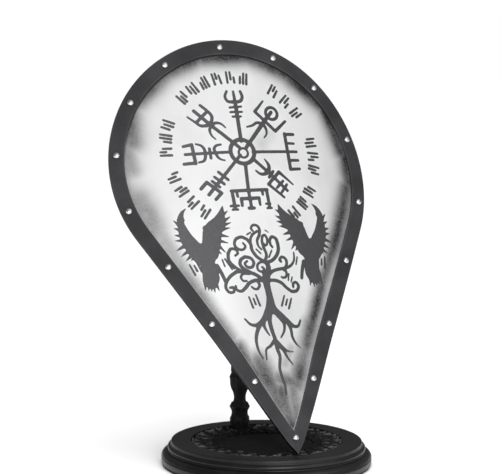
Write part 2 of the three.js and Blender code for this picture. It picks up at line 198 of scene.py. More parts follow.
def make_piece(name, points, quads, triangles=None, materials=(), uv=None, values=None):
    """A mesh object from points and faces, with corner UVs and point values, turned to face out."""
    triangles = np.zeros((0, 3), int) if triangles is None else triangles
    corners = np.concatenate([quads.ravel(), triangles.ravel()])
    sizes = np.concatenate([np.full(len(quads), 4), np.full(len(triangles), 3)])
    a, b, c = points[quads[:, 0]], points[quads[:, 1]], points[quads[:, 2]]
    d = points[quads[:, 3]]
    volume = np.einsum("ij,ij->i", a, np.cross(b, c)).sum() + np.einsum("ij,ij->i", a, np.cross(c, d)).sum()
    if len(triangles):
        p, q, r = (points[triangles[:, k]] for k in range(3))
        volume += np.einsum("ij,ij->i", p, np.cross(q, r)).sum()
    mesh = bpy.data.meshes.new(name)
    mesh.vertices.add(len(points))
    mesh.vertices.foreach_set("co", points.astype(np.float32).ravel())
    mesh.loops.add(len(corners))
    mesh.loops.foreach_set("vertex_index", corners.astype(np.int32))
    mesh.polygons.add(len(sizes))
    starts = np.concatenate([[0], np.cumsum(sizes)[:-1]])
    mesh.polygons.foreach_set("loop_start", starts.astype(np.int32))
    mesh.polygons.foreach_set("use_smooth", np.ones(len(sizes), bool))
    for material in materials:
        mesh.materials.append(material)
    if uv is not None:
        layer = mesh.uv_layers.new(name="OFBake")
        layer.uv.foreach_set("vector", uv.astype(np.float32).ravel())
    for key, value in (values or {}).items():
        attribute = mesh.attributes.new(key, "FLOAT", "POINT")
        attribute.data.foreach_set("value", value.astype(np.float32))
    mesh.update(calc_edges=True)
    if volume < 0:
        mesh.flip_normals()
    piece = bpy.data.objects.new(name, mesh)
    bpy.context.collection.objects.link(piece)
    return piece


def finish_piece(piece, slot, *nodes):
    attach(piece, "root")
    if nodes:
        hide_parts(*nodes)


def smoothstep(low, high, x):
    t = np.clip((x - low) / (high - low), 0, 1)
    return t * t * (3 - 2 * t)


# The shield's shape


def on_shell(sizes, u, v, depth):
    """The flat pattern rolled on a cylinder and leaned back: u across, v up from the tip, depth behind."""
    turn = u / sizes.roll
    radius = sizes.roll - depth
    back = sizes.roll - radius * np.cos(turn)
    y = TIP_Y + back * math.cos(LEAN) + v * math.sin(LEAN)
    z = TIP_Z - back * math.sin(LEAN) + v * math.cos(LEAN)
    return np.stack(np.broadcast_arrays(radius * np.sin(turn), y, z), axis=-1)


def shell_axes(sizes, u):
    """Unit vectors on the shell at u: across to the right, up along the plate, and out of the front."""
    turn = u / sizes.roll
    across = np.array([math.cos(turn), math.sin(turn) * math.cos(LEAN), -math.sin(turn) * math.sin(LEAN)])
    up = np.array([0.0, math.sin(LEAN), math.cos(LEAN)])
    out = np.array([math.sin(turn), -math.cos(turn) * math.cos(LEAN), math.cos(turn) * math.sin(LEAN)])
    return across, up, out


def head_centre(sizes):
    return sizes.height - sizes.half_width


def tip_angle(sizes):
    return math.asin(sizes.half_width / head_centre(sizes))


def outline_ends(sizes, inset, s):
    """Lower and upper edge of the teardrop, set in, on the upright lines at s of its half width."""
    radius = sizes.half_width - inset
    u = s * radius
    high = head_centre(sizes) + np.sqrt(np.maximum(radius**2 - u**2, 0))
    angle = tip_angle(sizes)
    side = inset / math.sin(angle) + np.abs(u) / math.tan(angle)
    round_part = head_centre(sizes) - np.sqrt(np.maximum(radius**2 - u**2, 0))
    low = np.where(np.abs(u) < radius * math.cos(angle), side, round_part)
    return u, low, high


def teardrop(sizes, inset, side_steps, arc_steps):
    """The closed outline, set in: tip, right side, round head, left side. Insets keep their steps."""
    radius = sizes.half_width - inset
    angle = tip_angle(sizes)
    tip = np.array([0.0, inset / math.sin(angle)])
    shoulder = np.array([radius * math.cos(angle), head_centre(sizes) - radius * math.sin(angle)])
    way = (np.arange(side_steps) / side_steps)[:, None]
    right = tip + (shoulder - tip) * way
    turn = np.linspace(-angle, math.pi + angle, arc_steps + 1)
    head = np.stack([radius * np.cos(turn), head_centre(sizes) + radius * np.sin(turn)], axis=1)
    left = right[:0:-1] * [-1, 1]
    return np.concatenate([right, head, left])


def tip_drop(sizes, v, inset):
    """How far the band's lines run lower near the tip: the outline swells a little and the inner edge
    reaches down to the last rivet. Both fade out upwards, and the tip itself stays where it is."""
    fade = 1 - smoothstep(sizes.settled_from, sizes.settled_to, v)
    return fade * (sizes.swell * smoothstep(0, 25 * MM, v) + sizes.reach_down * inset / sizes.band_width)


def band_distance(sizes, u, v):
    """How far a place on the flat pattern lies inside the band's inner edge."""
    straight = v
    for _ in range(3):
        straight = v + tip_drop(sizes, straight, sizes.band_width)
    return rim_distance(sizes, u, straight) - sizes.band_width


def rim_distance(sizes, u, v):
    """How far a place on the flat pattern lies inside the outline."""
    angle = tip_angle(sizes)
    to_side = v * math.sin(angle) - np.abs(u) * math.cos(angle)
    from_centre = np.hypot(u, v - head_centre(sizes))
    over_shoulder = v - head_centre(sizes) > -np.abs(u) * math.tan(angle)
    return np.where(over_shoulder, sizes.half_width - from_centre, to_side)


# The painted figures, as a distance to the nearest painted edge, negative inside.
# All their sizes are millimetres on the flat plate, from the tip up and from its middle.


class Drawing:
    """Points of the plate and, for each, the distance to the paint drawn so far."""

    far = 9.0

    def __init__(self, u, v):
        self.u, self.v = u, v
        self.distance = np.full(u.shape, self.far)

    def stroke(self, start, end, width, end_width=None):
        """A straight line with round ends that may taper: distance to the segment less its half width."""
        end_width = width if end_width is None else end_width
        reach = max(width, end_width) / 2 + self.far
        low = np.minimum(start, end) - reach
        high = np.maximum(start, end) + reach
        near = np.nonzero((self.u > low[0]) & (self.u < high[0]) & (self.v > low[1]) & (self.v < high[1]))[0]
        if not len(near):
            return
        dx, dy = end[0] - start[0], end[1] - start[1]
        px, py = self.u[near] - start[0], self.v[near] - start[1]
        t = np.clip((px * dx + py * dy) / max(dx * dx + dy * dy, 1e-9), 0, 1)
        away = np.hypot(px - t * dx, py - t * dy) - (width + (end_width - width) * t) / 2
        self.distance[near] = np.minimum(self.distance[near], away)

    def path(self, points, width, end_width=None):
        """Strokes through a list of points, the width running evenly from the first to the last."""
        end_width = width if end_width is None else end_width
        count = len(points) - 1
        for i in range(count):
            near = width + (end_width - width) * i / count
            far = width + (end_width - width) * (i + 1) / count
            self.stroke(points[i], points[i + 1], near, far)

    def curve(self, points, width, end_width=None, steps=7):
        """A smooth line through the points."""
        self.path(smooth_line(points, steps), width, end_width)

    def lines(self, table):
        """Every line of a table, as a smooth curve."""
        for (width, end_width), *places in table:
            self.curve(places, width, end_width)

    def circle(self, centre, radius, width, steps=28):
        turn = np.radians(np.linspace(0, 360, steps + 1))
        points = np.stack([centre[0] + radius * np.cos(turn), centre[1] + radius * np.sin(turn)], axis=1)
        self.path(points, width)


def smooth_line(points, steps):
    """A Catmull-Rom curve through the points: cubic between each pair, its slope from their neighbours."""
    p = np.asarray(points, float)
    p = np.concatenate([[2 * p[0] - p[1]], p, [2 * p[-1] - p[-2]]])
    t = (np.arange(steps) / steps)[:, None]
    parts = []
    for i in range(1, len(p) - 2):
        a, b, c, d = p[i - 1], p[i], p[i + 1], p[i + 2]
        parts.append(
            b + (c - a) * t / 2 + (2 * a - 5 * b + 4 * c - d) * t**2 / 2 + (3 * b - a - 3 * c + d) * t**3 / 2
        )
    parts.append(p[-2:-1])
    return np.concatenate(parts)


def travelled(path):
    """The way along a path up to each of its points."""
    return np.concatenate([[0], np.cumsum(np.linalg.norm(np.diff(path, axis=0), axis=1))])


# Lines of the figures: the width at the start and at the end, then the places it runs through

COMPASS_LINES = (
    ((5.4, 5.6), (3, 456), (5, 513)),
    ((3.2, 3.0), (-3, 493), (10, 493)),
    ((3.2, 3.0), (-5, 500), (13, 500)),
    ((3.2, 3.0), (-5, 507), (13, 508)),
    ((5.0, 3.6), (5, 513), (5, 531)),
    ((5.0, 6.0), (9, 446), (45, 485)),
    ((6.0, 5.0), (45, 485), (59, 499)),
    ((2.6, 4.6), (49, 516), (33, 500)),
    ((4.6, 4.8), (33, 500), (60, 470)),
    ((4.8, 3.8), (60, 470), (79, 485)),
    ((4.2, 4.0), (18, 439), (88, 438.5)),
    ((4.8, 5.2), (74, 466), (73, 412)),
    ((4.8, 4.4), (74, 465), (88, 465)),
    ((3.8, 3.6), (74, 451.5), (86, 451)),
    ((4.4, 4.0), (73, 425.5), (88, 425.5)),
    ((4.8, 4.0), (73, 412), (88, 412.5)),
    ((5.0, 4.6), (17, 428), (40, 404)),
    ((4.6, 4.4), (40, 404), (61, 380)),
    ((4.2, 4.2), (36, 400.5), (44, 409)),
    ((4.6, 4.6), (53, 408), (33, 390)),
    ((4.8, 2.4), (53, 408), (72, 389)),
    ((4.4, 3.4), (33, 390), (54, 370)),
    ((3.8, 3.8), (46, 385), (57, 394.5)),
    ((3.8, 3.8), (52, 378), (62, 389)),
    ((5.2, 4.8), (3, 422), (0, 382)),
    ((4.8, 4.6), (-26, 382), (29, 382)),
    ((4.8, 5.0), (-25, 382), (-25, 356)),
    ((4.8, 4.6), (28, 382), (28, 356)),
    ((3.6, 3.6), (-31, 360), (-19, 360)),
    ((3.2, 3.2), (-29, 354.5), (-21, 354.5)),
    ((3.0, 3.2), (23, 361), (30, 361)),
    ((3.2, 3.2), (24, 354.5), (31, 354.5)),
    ((4.2, 3.8), (-18, 380), (-18, 373.5)),
    ((4.2, 3.8), (21, 380), (21, 375)),
    ((4.8, 4.6), (0, 382), (0, 355)),
    ((4.6, 4.6), (-4, 355.5), (4, 355.5)),
    ((5.0, 5.0), (-13, 370), (14, 370)),
    ((4.8, 4.2), (-13, 370), (-13.5, 360)),
    ((4.6, 3.6), (14, 370), (14, 360)),
    ((4.4, 4.8), (-2, 435), (-60, 378.5)),
    ((4.2, 4.2), (-40, 411), (-27.5, 399)),
    ((4.2, 4.2), (-47, 404), (-34.5, 393)),
    ((4.2, 4.2), (-51.5, 398), (-42, 389)),
    ((4.8, 5.0), (-70, 388), (-60, 397)),
    ((5.0, 5.0), (-60, 397), (-41, 380)),
    ((5.0, 4.4), (-41, 380), (-51, 371)),
    ((4.0, 4.2), (-15, 440), (-84, 440)),
    ((4.2, 4.2), (-47, 446.5), (-47, 432.5)),
    ((4.8, 5.0), (-72, 454), (-71, 426)),
    ((4.6, 4.0), (-72, 454), (-85, 452)),
    ((4.8, 4.4), (-71, 426.5), (-88, 426)),
    ((5.0, 5.2), (-1, 446), (-38, 481)),
    ((5.2, 5.0), (-38, 481), (-60, 504)),
    ((4.4, 4.4), (-42, 501), (-58, 487.5)),
)
COMPASS_CURVES = (
    ((3.4, 5.0), (-5, 532), (-9, 524), (-6, 516.5), (4, 515)),
    ((5.0, 4.2), (4, 515), (13.5, 516.5), (17.5, 523), (16, 531)),
    ((5.0, 2.4), (42, 481), (33, 483), (25, 479), (16, 477)),
    ((5.0, 1.8), (42, 481), (45.5, 474), (45, 466), (40, 460)),
    ((6.4, 1.8), (37, 409), (39, 417), (37, 423), (34, 428)),
    ((6.4, 2.6), (37, 409), (30, 405.5), (23, 406), (17, 411)),
    ((4.6, 3.0), (-39, 440), (-40, 446), (-36, 450.5), (-29, 452)),
    ((4.6, 2.2), (-39, 440), (-37, 434), (-33, 430), (-27, 428)),
    ((5.0, 2.6), (-54, 440), (-55, 447), (-59, 452), (-66, 454.5)),
    ((5.0, 2.8), (-54, 440), (-55.5, 433), (-59, 428.5), (-66, 427)),
    ((5.0, 2.2), (-38, 481), (-31, 484.5), (-23, 483), (-17, 477)),
    ((5.0, 1.8), (-38, 481), (-41.5, 474), (-40, 466), (-35, 460)),
    ((4.2, 5.0), (-49, 512), (-39, 502), (-34.5, 494), (-38, 485), (-45, 481)),
    ((5.0, 2.6), (-45, 481), (-54, 481.5), (-62, 488), (-71, 495.5)),
)
TREE_CURVES = (
    ((12, 9), (3, 257), (1, 246), (1.5, 234)),
    ((9, 11), (1.5, 234), (2, 222), (2.5, 210)),
    ((11, 14), (2.5, 212), (2.5, 209), (2.5, 207)),
    ((7, 8), (0, 222), (-3, 211), (-8, 201), (-12, 194)),
    ((10, 4.4), (4, 256), (7.5, 264), (8, 271), (3, 277)),
    ((4.4, 4.6), (3, 277), (-6, 284), (-11.5, 294), (-12, 303), (-16, 310)),
    ((4.6, 3.0), (-16, 310), (-24, 314), (-33, 311), (-36, 303),
     (-32, 297), (-25, 295.5), (-20.5, 300), (-23, 305)),
    ((3.4, 3.6), (-12, 303), (-10.5, 311), (-6, 317), (1, 321)),
    ((3.0, 4.2), (-5, 322), (-7, 326), (-3, 330.5), (3, 329), (5.5, 323.5), (3.5, 315)),
    ((4.2, 2.4), (3.5, 315), (-1, 308), (-1, 300), (3, 294)),
    ((4.4, 3.6), (5, 277), (9, 286), (7, 296), (6, 306), (8, 314)),
    ((3.6, 3.2), (8, 314), (12, 315), (14.5, 309), (13, 302), (10, 300), (7.5, 303)),
    ((4.6, 5.0), (6, 275), (15, 277), (23, 283), (28.5, 292), (29.5, 302)),
    ((5.0, 3.2), (29.5, 302), (28, 309), (22.5, 312), (18.5, 308), (18, 301), (20.5, 297)),
    ((3.4, 3.2), (9, 266), (7, 273), (-1, 276), (-7.5, 272), (-8, 265), (-3, 262), (1.5, 265), (-1, 268.5)),
    ((5.0, 4.8), (-3, 250), (-11, 257), (-20, 261.5), (-30, 264), (-41, 264)),
    ((4.8, 3.4), (-41, 264), (-51, 258), (-58, 250), (-60, 242),
     (-56, 235.5), (-49.5, 236), (-49, 242), (-54, 242)),
    ((5.0, 4.6), (-20, 262), (-28, 267), (-33, 274), (-31, 281), (-24, 285)),
    ((4.6, 3.2), (-24, 285), (-16, 282.5), (-12.5, 276), (-16, 269.5), (-23, 270), (-26, 275), (-22, 278.5)),
    ((3.6, 4.6), (-33, 265), (-42, 272), (-48.5, 281), (-48, 291)),
    ((4.6, 3.0), (-48, 291), (-43, 297.5), (-36, 296.5), (-33.5, 291), (-38, 287.5)),
    ((3.6, 2.8), (-22, 260), (-31, 260.5), (-35.5, 256), (-33, 250.5), (-28, 250)),
    ((5.0, 4.8), (-3, 249), (-14, 250), (-24, 247), (-31, 240.5)),
    ((4.8, 3.0), (-31, 240.5), (-38, 236), (-44.5, 238), (-45.5, 244)),
    ((4.2, 2.8), (-12, 249), (-10, 243), (-14, 237.5), (-19, 238), (-22, 241)),
    ((4.8, 4.4), (7, 257), (13, 261.5), (22, 264), (33, 265)),
    ((4.4, 2.2), (33, 265), (43, 268.5), (50, 276.5), (52, 288)),
    ((4.4, 3.4), (32, 264), (37, 270), (37.5, 278), (32, 282), (27.5, 278), (29.5, 275)),
    ((3.8, 3.0), (30, 264), (34.5, 259.5), (33, 253), (28, 251.5), (25.5, 253)),
    ((4.8, 4.6), (6, 249), (16, 248), (24, 244), (30, 237), (37, 231)),
    ((4.6, 3.4), (37, 231), (44.5, 231.5), (49.5, 238), (46.5, 244), (41.5, 242.5), (41, 237.5)),
    ((8, 2.4), (-10, 197), (-17, 190), (-25, 186), (-34, 187.5), (-41, 196)),
    ((6.6, 2), (-16, 191), (-25, 179), (-30, 165), (-29.5, 150), (-25, 138)),
    ((5.6, 1.8), (-13, 193), (-14.5, 184), (-12, 176), (-9, 170)),
    ((6.6, 5.0), (-2, 202), (-5, 190), (-4, 176), (-1.5, 163)),
    ((5, 2), (-2, 164), (-10, 155.5), (-18, 150), (-20, 136)),
    ((5.4, 2.6), (-2, 163), (-1.5, 150), (0.5, 139), (-3, 123), (-2, 108), (0, 97), (-1, 85)),
    ((5, 2), (-1, 162), (7, 152), (14, 146), (22, 144.5)),
    ((5, 2), (1, 157), (7, 148), (12, 136), (18, 126)),
    ((6.4, 2.0), (5, 203), (12, 193), (16, 184), (13.5, 174), (7, 165.5)),
    ((6.2, 1.8), (12, 198), (20, 189), (24.5, 178), (25, 165), (29, 155), (35, 148.5)),
    ((8.4, 2.6), (6, 206), (15, 196.5), (23, 188), (30, 181), (37, 181), (42, 189)),
)
HATCHING = (
    ((2.2, 2.2), (-5, 295), (1, 288)),
    ((2.2, 2.2), (18, 292), (12, 282)),
    ((2.2, 2.0), (-58, 283), (-56, 273)),
    ((2.4, 2.0), (-54, 284), (-46, 268)),
    ((2.2, 2.0), (-49, 276), (-43, 269)),
    ((2.2, 2.0), (56, 281), (52, 270)),
    ((2.2, 2.0), (-15, 317), (-9, 320)),
    ((2.2, 2.0), (14, 322), (18, 319)),
    ((2.2, 2.0), (38, 257), (35, 247)),
    ((2.2, 2.0), (42, 252), (39, 245)),
)

# The left bird, from its middle: wings, body, tail and leg, then the pointed feathers
BIRD_LIMBS = (
    ((24, 19), (-12, -2), (-18, 8), (-23, 17)),
    ((19, 10), (-23, 17), (-26, 28), (-27.5, 38)),
    ((10, 7), (-27.5, 38), (-28, 46), (-26, 52)),
    ((7, 0.8), (-26, 52), (-22.5, 57.5), (-17.5, 62)),
    ((26, 27), (6, -4), (11, 10), (14, 22)),
    ((27, 24), (14, 22), (16.5, 27), (18.5, 30)),
    ((24, 18), (18.5, 30), (27, 38.5)),
    ((18, 11), (27, 38.5), (32, 48)),
    ((11, 0.8), (32, 48), (34.5, 55), (36.5, 62)),
    ((9, 4), (6.5, 31), (12, 35)),
    ((34, 28), (-3, -7), (-1, -11)),
    ((22, 21), (-2, -12), (-0.5, -20)),
    ((21, 24), (-0.5, -20), (1.5, -30), (1.5, -40)),
    ((24, 19), (1.5, -40), (1, -47)),
    ((5.5, 4.5), (13, -24), (18, -37), (21, -48)),
)
BIRD_FEATHERS = (
    (-26, 46, -25, 58),
    (-28, 40, -32.5, 47),
    (-27, 33, -37.5, 46),
    (-25, 27, -38.5, 35),
    (-24, 20, -39.5, 25),
    (-22, 14, -40, 17),
    (-19, 11, -42, 2),
    (-16, 4, -36.5, -7),
    (-13, -1, -30.5, -14),
    (-10, -4, -23, -14),
    (28, 42, 43, 54.5),
    (27, 34, 45, 45.5),
    (25, 30, 44.5, 37),
    (22, 25, 42, 29.5),
    (18, 20, 38, 16.5),
    (14, 13, 35, 7.5),
    (15, 10, 28.5, -5.5),
    (13, 0, 22.5, -7.5),
    (7, -4, 14.5, -12.5),
    (-7, -42, -10, -57.5),
    (-4, -42, -5, -58.5),
    (-1, -42, -1, -60),
    (3, -42, 3.2, -62),
    (5, -42, 9.5, -59.5),
)


def draw_compass(drawing, centre, paint):
    """A traditional eight-armed stave: a ring, and arms that end in forks, combs and brackets."""
    drawing.circle(centre, paint.ring / MM, paint.ring_line / MM, 48)
    drawing.circle((centre[0] + 1, centre[1] - 2), 7.0, 3.2)
    drawing.circle((59, 497), 9.2, 4.4)
    drawing.lines(COMPASS_LINES)
    drawing.lines(COMPASS_CURVES)


def draw_marks(drawing, centre, paint):
    """A ring of tally marks around the compass, in groups: long and short strokes that spell nothing."""
    ring, line = paint.marks_ring / MM, paint.marks_line / MM
    # Groups by first angle, step and number of marks; then kinds of mark by their strokes' place and ends
    groups = (
        (131.5, -10.6, 6),
        (54, -11.6, 3),
        (6.5, -10.5, 3),
        (-33, -11.5, 3),
        (156.4, 10.3, 3),
        (197, 11, 4),
    )
    kinds = (
        ((-4.5, -8, 8), (0.5, -8, 3), (5.5, -3, 8)),
        ((-5, -8, 2), (0, -8, 8), (5, -8, 8)),
        ((-4.5, -8, 8), (1, -3, 8), (6, -8, 0)),
        ((-5.5, -4, 8), (0, -8, 5), (5.5, -8, 8)),
        ((-5, -8, 8), (0, 0, 8), (5, -8, 4)),
    )
    index = 0
    for start, step, count in groups:
        for i in range(count):
            turn = math.radians(start + step * i)
            out = np.array([math.cos(turn), math.sin(turn)])
            side = np.array([out[1], -out[0]])
            middle = np.array(centre) + ring * out
            for x, low, high in kinds[(index * 3 + index // 5) % len(kinds)]:
                foot = middle + x * side
                drawing.stroke(foot + low * out, foot + high * out, line, line * 0.85)
            index += 1
    for x, y, tilt in ((-22, 220, 12), (26, 216, -25), (-98, 274, 20), (94, 273, -10)):
        turn = math.radians(tilt)
        side = np.array([math.cos(turn), math.sin(turn)])
        out = np.array([-side[1], side[0]])
        for across, half in ((-5.5, 8), (0, 4.5), (5.5, 8)):
            middle = np.array([x, y]) + across * side
            drawing.stroke(middle - half * out, middle + half * out, 3.0, 2.4)


def draw_bird(drawing, centre, mirror):
    """A bird with raised wings: smooth limbs, and rows of pointed feathers along them."""

    def at(x, y):
        return np.array([centre[0] + mirror * x, centre[1] + y])

    for (width, end_width), *places in BIRD_LIMBS:
        drawing.curve([at(*place) for place in places], width, end_width)
    for x0, y0, x1, y1 in BIRD_FEATHERS:
        root, tip = at(x0, y0), at(x1, y1)
        droop = (root + tip) / 2 + [0, 0.8]
        drawing.curve([root, droop, tip], 8.5, 0.8, steps=5)


def draw_tree(drawing):
    """A tree whose branches end in curls, and whose trunk parts into long roots."""
    drawing.lines(TREE_CURVES)
    drawing.lines(HATCHING)


def paint_distance(u, v, paint):
    """Distance in millimetres from each place on the plate to the painted edge, negative inside."""
    drawing = Drawing(u / MM, v / MM)
    compass = (paint.axis / MM, paint.compass_height / MM)
    draw_compass(drawing, compass, paint)
    draw_marks(drawing, compass, paint)
    draw_bird(drawing, (-80, 299), 1)
    draw_bird(drawing, (78, 298), -1)
    draw_tree(drawing)
    return drawing.distance


# Soft clouds rubbed into the steel: from one place to another, radius, and strength
BURNISH_CLOUDS = (
    ((-153, 500), (-155, 466), 17, 0.8),
    ((-164, 452), (-161, 425), 13, 0.55),
    ((-158, 380), (-144, 336), 20, 0.6),
    ((-138, 330), (-104, 248), 13, 0.52),
    ((-99, 240), (-66, 174), 12, 0.52),
    ((-136, 524), (-92, 560), 14, 0.7),
    ((-84, 565), (-34, 585), 14, 0.78),
    ((-30, 584), (34, 585), 15, 0.97),
    ((42, 583), (96, 559), 15, 0.96),
    ((102, 552), (142, 514), 15, 0.89),
    ((152, 500), (166, 440), 14, 0.98),
    ((170, 430), (168, 392), 13, 0.95),
    ((162, 384), (142, 340), 14, 0.96),
    ((142, 340), (118, 292), 13, 0.92),
    ((118, 292), (88, 242), 12, 0.9),
    ((88, 242), (58, 180), 12, 0.94),
    ((58, 180), (46, 152), 16, 0.92),
    ((46, 152), (26, 110), 19, 0.8),
    ((20, 150), (6, 128), 10, 0.46),
    ((-56, 156), (-38, 118), 13, 0.78),
    ((-32, 134), (-12, 70), 19, 0.87),
    ((-8, 108), (20, 98), 16, 0.72),
    ((-8, 90), (-2, 44), 17, 0.87),
    ((10, 90), (6, 52), 14, 0.72),
    ((0, 215), (0, 120), 60, 0.2),
    ((36, 452), (48, 466), 12, 0.16),
)


def burnish_shade(sizes, u, v):
    """How dark the steel is rubbed: each cloud falls off with the square of the distance from its line.
    The rim is darker. Low down it is lighter on the right, with a lighter strip beside the band."""
    deepest = np.zeros_like(u)
    for start, end, radius, strength in BURNISH_CLOUDS:
        start, end = np.array(start) * MM, np.array(end) * MM
        step = end - start
        t = np.clip(((u - start[0]) * step[0] + (v - start[1]) * step[1]) / (step @ step), 0, 1)
        away = np.hypot(u - start[0] - t * step[0], v - start[1] - t * step[1])
        deepest = np.maximum(deepest, strength * np.exp(-((away / (radius * MM)) ** 2)))
    inside = np.maximum(band_distance(sizes, u, v), 0)
    clear = (1 - deepest) * (1 - 0.5 * np.exp(-inside / (7 * MM)))
    low_down = 1 - smoothstep(200 * MM, 380 * MM, v)
    right_side = smoothstep(10 * MM, 30 * MM, u)
    rubbed = np.exp(-((inside / (7 * MM)) ** 3)) * low_down * right_side
    strip = np.exp(-((inside / (0.9 * MM)) ** 2)) * low_down
    return (1 - clear) * (1 - 0.22 * rubbed) * (1 - 0.75 * strip)


def joint_shade(sizes, u, v):
    """Painted shadow: black in the joint between the plate and the band around the head, where the band's
    inner edge shades it.
    """
    inside = band_distance(sizes, u, v)
    return np.exp(-((np.maximum(inside, 0) / (2.6 * MM)) ** 4)) * smoothstep(400 * MM, 500 * MM, v)


# Shader helpers


def node(tree, kind, **settings):
    """A new node with its settings."""
    made = tree.nodes.new(kind)
    for key, value in settings.items():
        setattr(made, key, value)
    return made


def link(tree, source, target):
    tree.links.new(source, target)


def feed(tree, socket, value):
    """Links a socket if the value is another node's socket, and otherwise sets it."""
    if isinstance(value, bpy.types.NodeSocket):
        link(tree, value, socket)
    else:
        socket.default_value = value


def calculate(tree, operation, a, b, clamp=False):
    """One step of arithmetic between sockets or numbers."""
    made = node(tree, "ShaderNodeMath", operation=operation, use_clamp=clamp)
    feed(tree, made.inputs[0], a)
    feed(tree, made.inputs[1], b)
    return made.outputs[0]


def times(tree, a, b, clamp=False):
    return calculate(tree, "MULTIPLY", a, b, clamp)


def plus(tree, a, b, clamp=False):
    return calculate(tree, "ADD", a, b, clamp)


def ramp(tree, value, low, high, out_low=0.0, out_high=1.0):
    """A smooth step from one output to another while the value runs from low to high."""
    made = node(tree, "ShaderNodeMapRange", interpolation_type="SMOOTHSTEP")
    for index, item in enumerate((value, low, high, out_low, out_high)):
        feed(tree, made.inputs[index], item)
    return made.outputs[0]


def blend(tree, factor, a, b):
    """Colour a at factor 0, and colour b at factor 1."""
    made = node(tree, "ShaderNodeMix", data_type="RGBA")
    feed(tree, made.inputs[0], factor)
    feed(tree, made.inputs[6], a)
    feed(tree, made.inputs[7], b)
    return made.outputs[2]


def scaled(tree, base, factor):
    """A colour made lighter or darker by a factor."""
    made = node(tree, "ShaderNodeVectorMath", operation="SCALE")
    made.inputs[0].default_value = tuple(base)[:3]
    feed(tree, made.inputs["Scale"], factor)
    return made.outputs[0]


def noise(tree, vector, scale, detail=3.0, rough=0.5):
    made = node(tree, "ShaderNodeTexNoise")
    link(tree, vector, made.inputs["Vector"])
    for key, value in (("Scale", scale), ("Detail", detail), ("Roughness", rough)):
        feed(tree, made.inputs[key], value)
    return made.outputs["Fac"]


def object_place(tree, turn=(0, 0, 0)):
    """Object coordinates, turned."""
    coordinates = node(tree, "ShaderNodeTexCoord")
    mapping = node(tree, "ShaderNodeMapping")
    mapping.inputs["Rotation"].default_value = turn
    link(tree, coordinates.outputs["Object"], mapping.inputs["Vector"])
    return mapping.outputs["Vector"]


def attribute(tree, name):
    return node(tree, "ShaderNodeAttribute", attribute_name=name).outputs["Fac"]


def use_group(tree, group, **values):
    made = node(tree, "ShaderNodeGroup", node_tree=group)
    for label, value in values.items():
        feed(tree, made.inputs[label], value)
    return made


def noise_group(name, stretch, layers):
    """A node group of noises over one stretched vector, each with a scale, detail and roughness."""
    if name in bpy.data.node_groups:
        return bpy.data.node_groups[name]
    group = bpy.data.node_groups.new(name, "ShaderNodeTree")
    group.interface.new_socket(name="Vector", in_out="INPUT", socket_type="NodeSocketVector")
    scale_input = group.interface.new_socket(name="Scale", in_out="INPUT", socket_type="NodeSocketFloat")
    scale_input.default_value = 1.0
    for layer in layers:
        group.interface.new_socket(name=layer, in_out="OUTPUT", socket_type="NodeSocketFloat")
    start, end = node(group, "NodeGroupInput"), node(group, "NodeGroupOutput")
    mapping = node(group, "ShaderNodeMapping")
    mapping.inputs["Scale"].default_value = stretch
    link(group, start.outputs["Vector"], mapping.inputs["Vector"])
    for layer, (scale, detail, rough) in layers.items():
        size = times(group, start.outputs["Scale"], scale)
        link(group, noise(group, mapping.outputs[0], size, detail, rough), end.inputs[layer])
    return group


def brushed_group():
    """Fine parallel scratches, squeezed along one direction, with short soft smears."""
    return noise_group("Brushed Lines", (1, 1, 0.03), {"Lines": (2600.0, 3, 0.6), "Smears": (240.0, 4, 0.6)})


def grain_group():
    """Even fine grain with broad faint clouds, for satin and lacquered surfaces."""
    return noise_group("Satin Grain", (1, 1, 1), {"Grain": (900.0, 2, 0.6), "Clouds": (22.0, 4, 0.55)})


def clouded(tree, grain, low, high):
    """A value that wanders between two levels with the grain's clouds."""
    return ramp(tree, grain.outputs["Clouds"], 0.3, 0.7, low, high)


def new_material(name):
    if name in bpy.data.materials:
        bpy.data.materials.remove(bpy.data.materials[name])
    material = bpy.data.materials.new(name)
    material.use_nodes = True
    tree = material.node_tree
    return material, tree, tree.nodes["Principled BSDF"]


def bump(tree, shader, height, distance, strength):
    made = node(tree, "ShaderNodeBump")
    made.inputs["Strength"].default_value = strength
    made.inputs["Distance"].default_value = distance
    link(tree, height, made.inputs["Height"])
    link(tree, made.outputs[0], shader.inputs["Normal"])


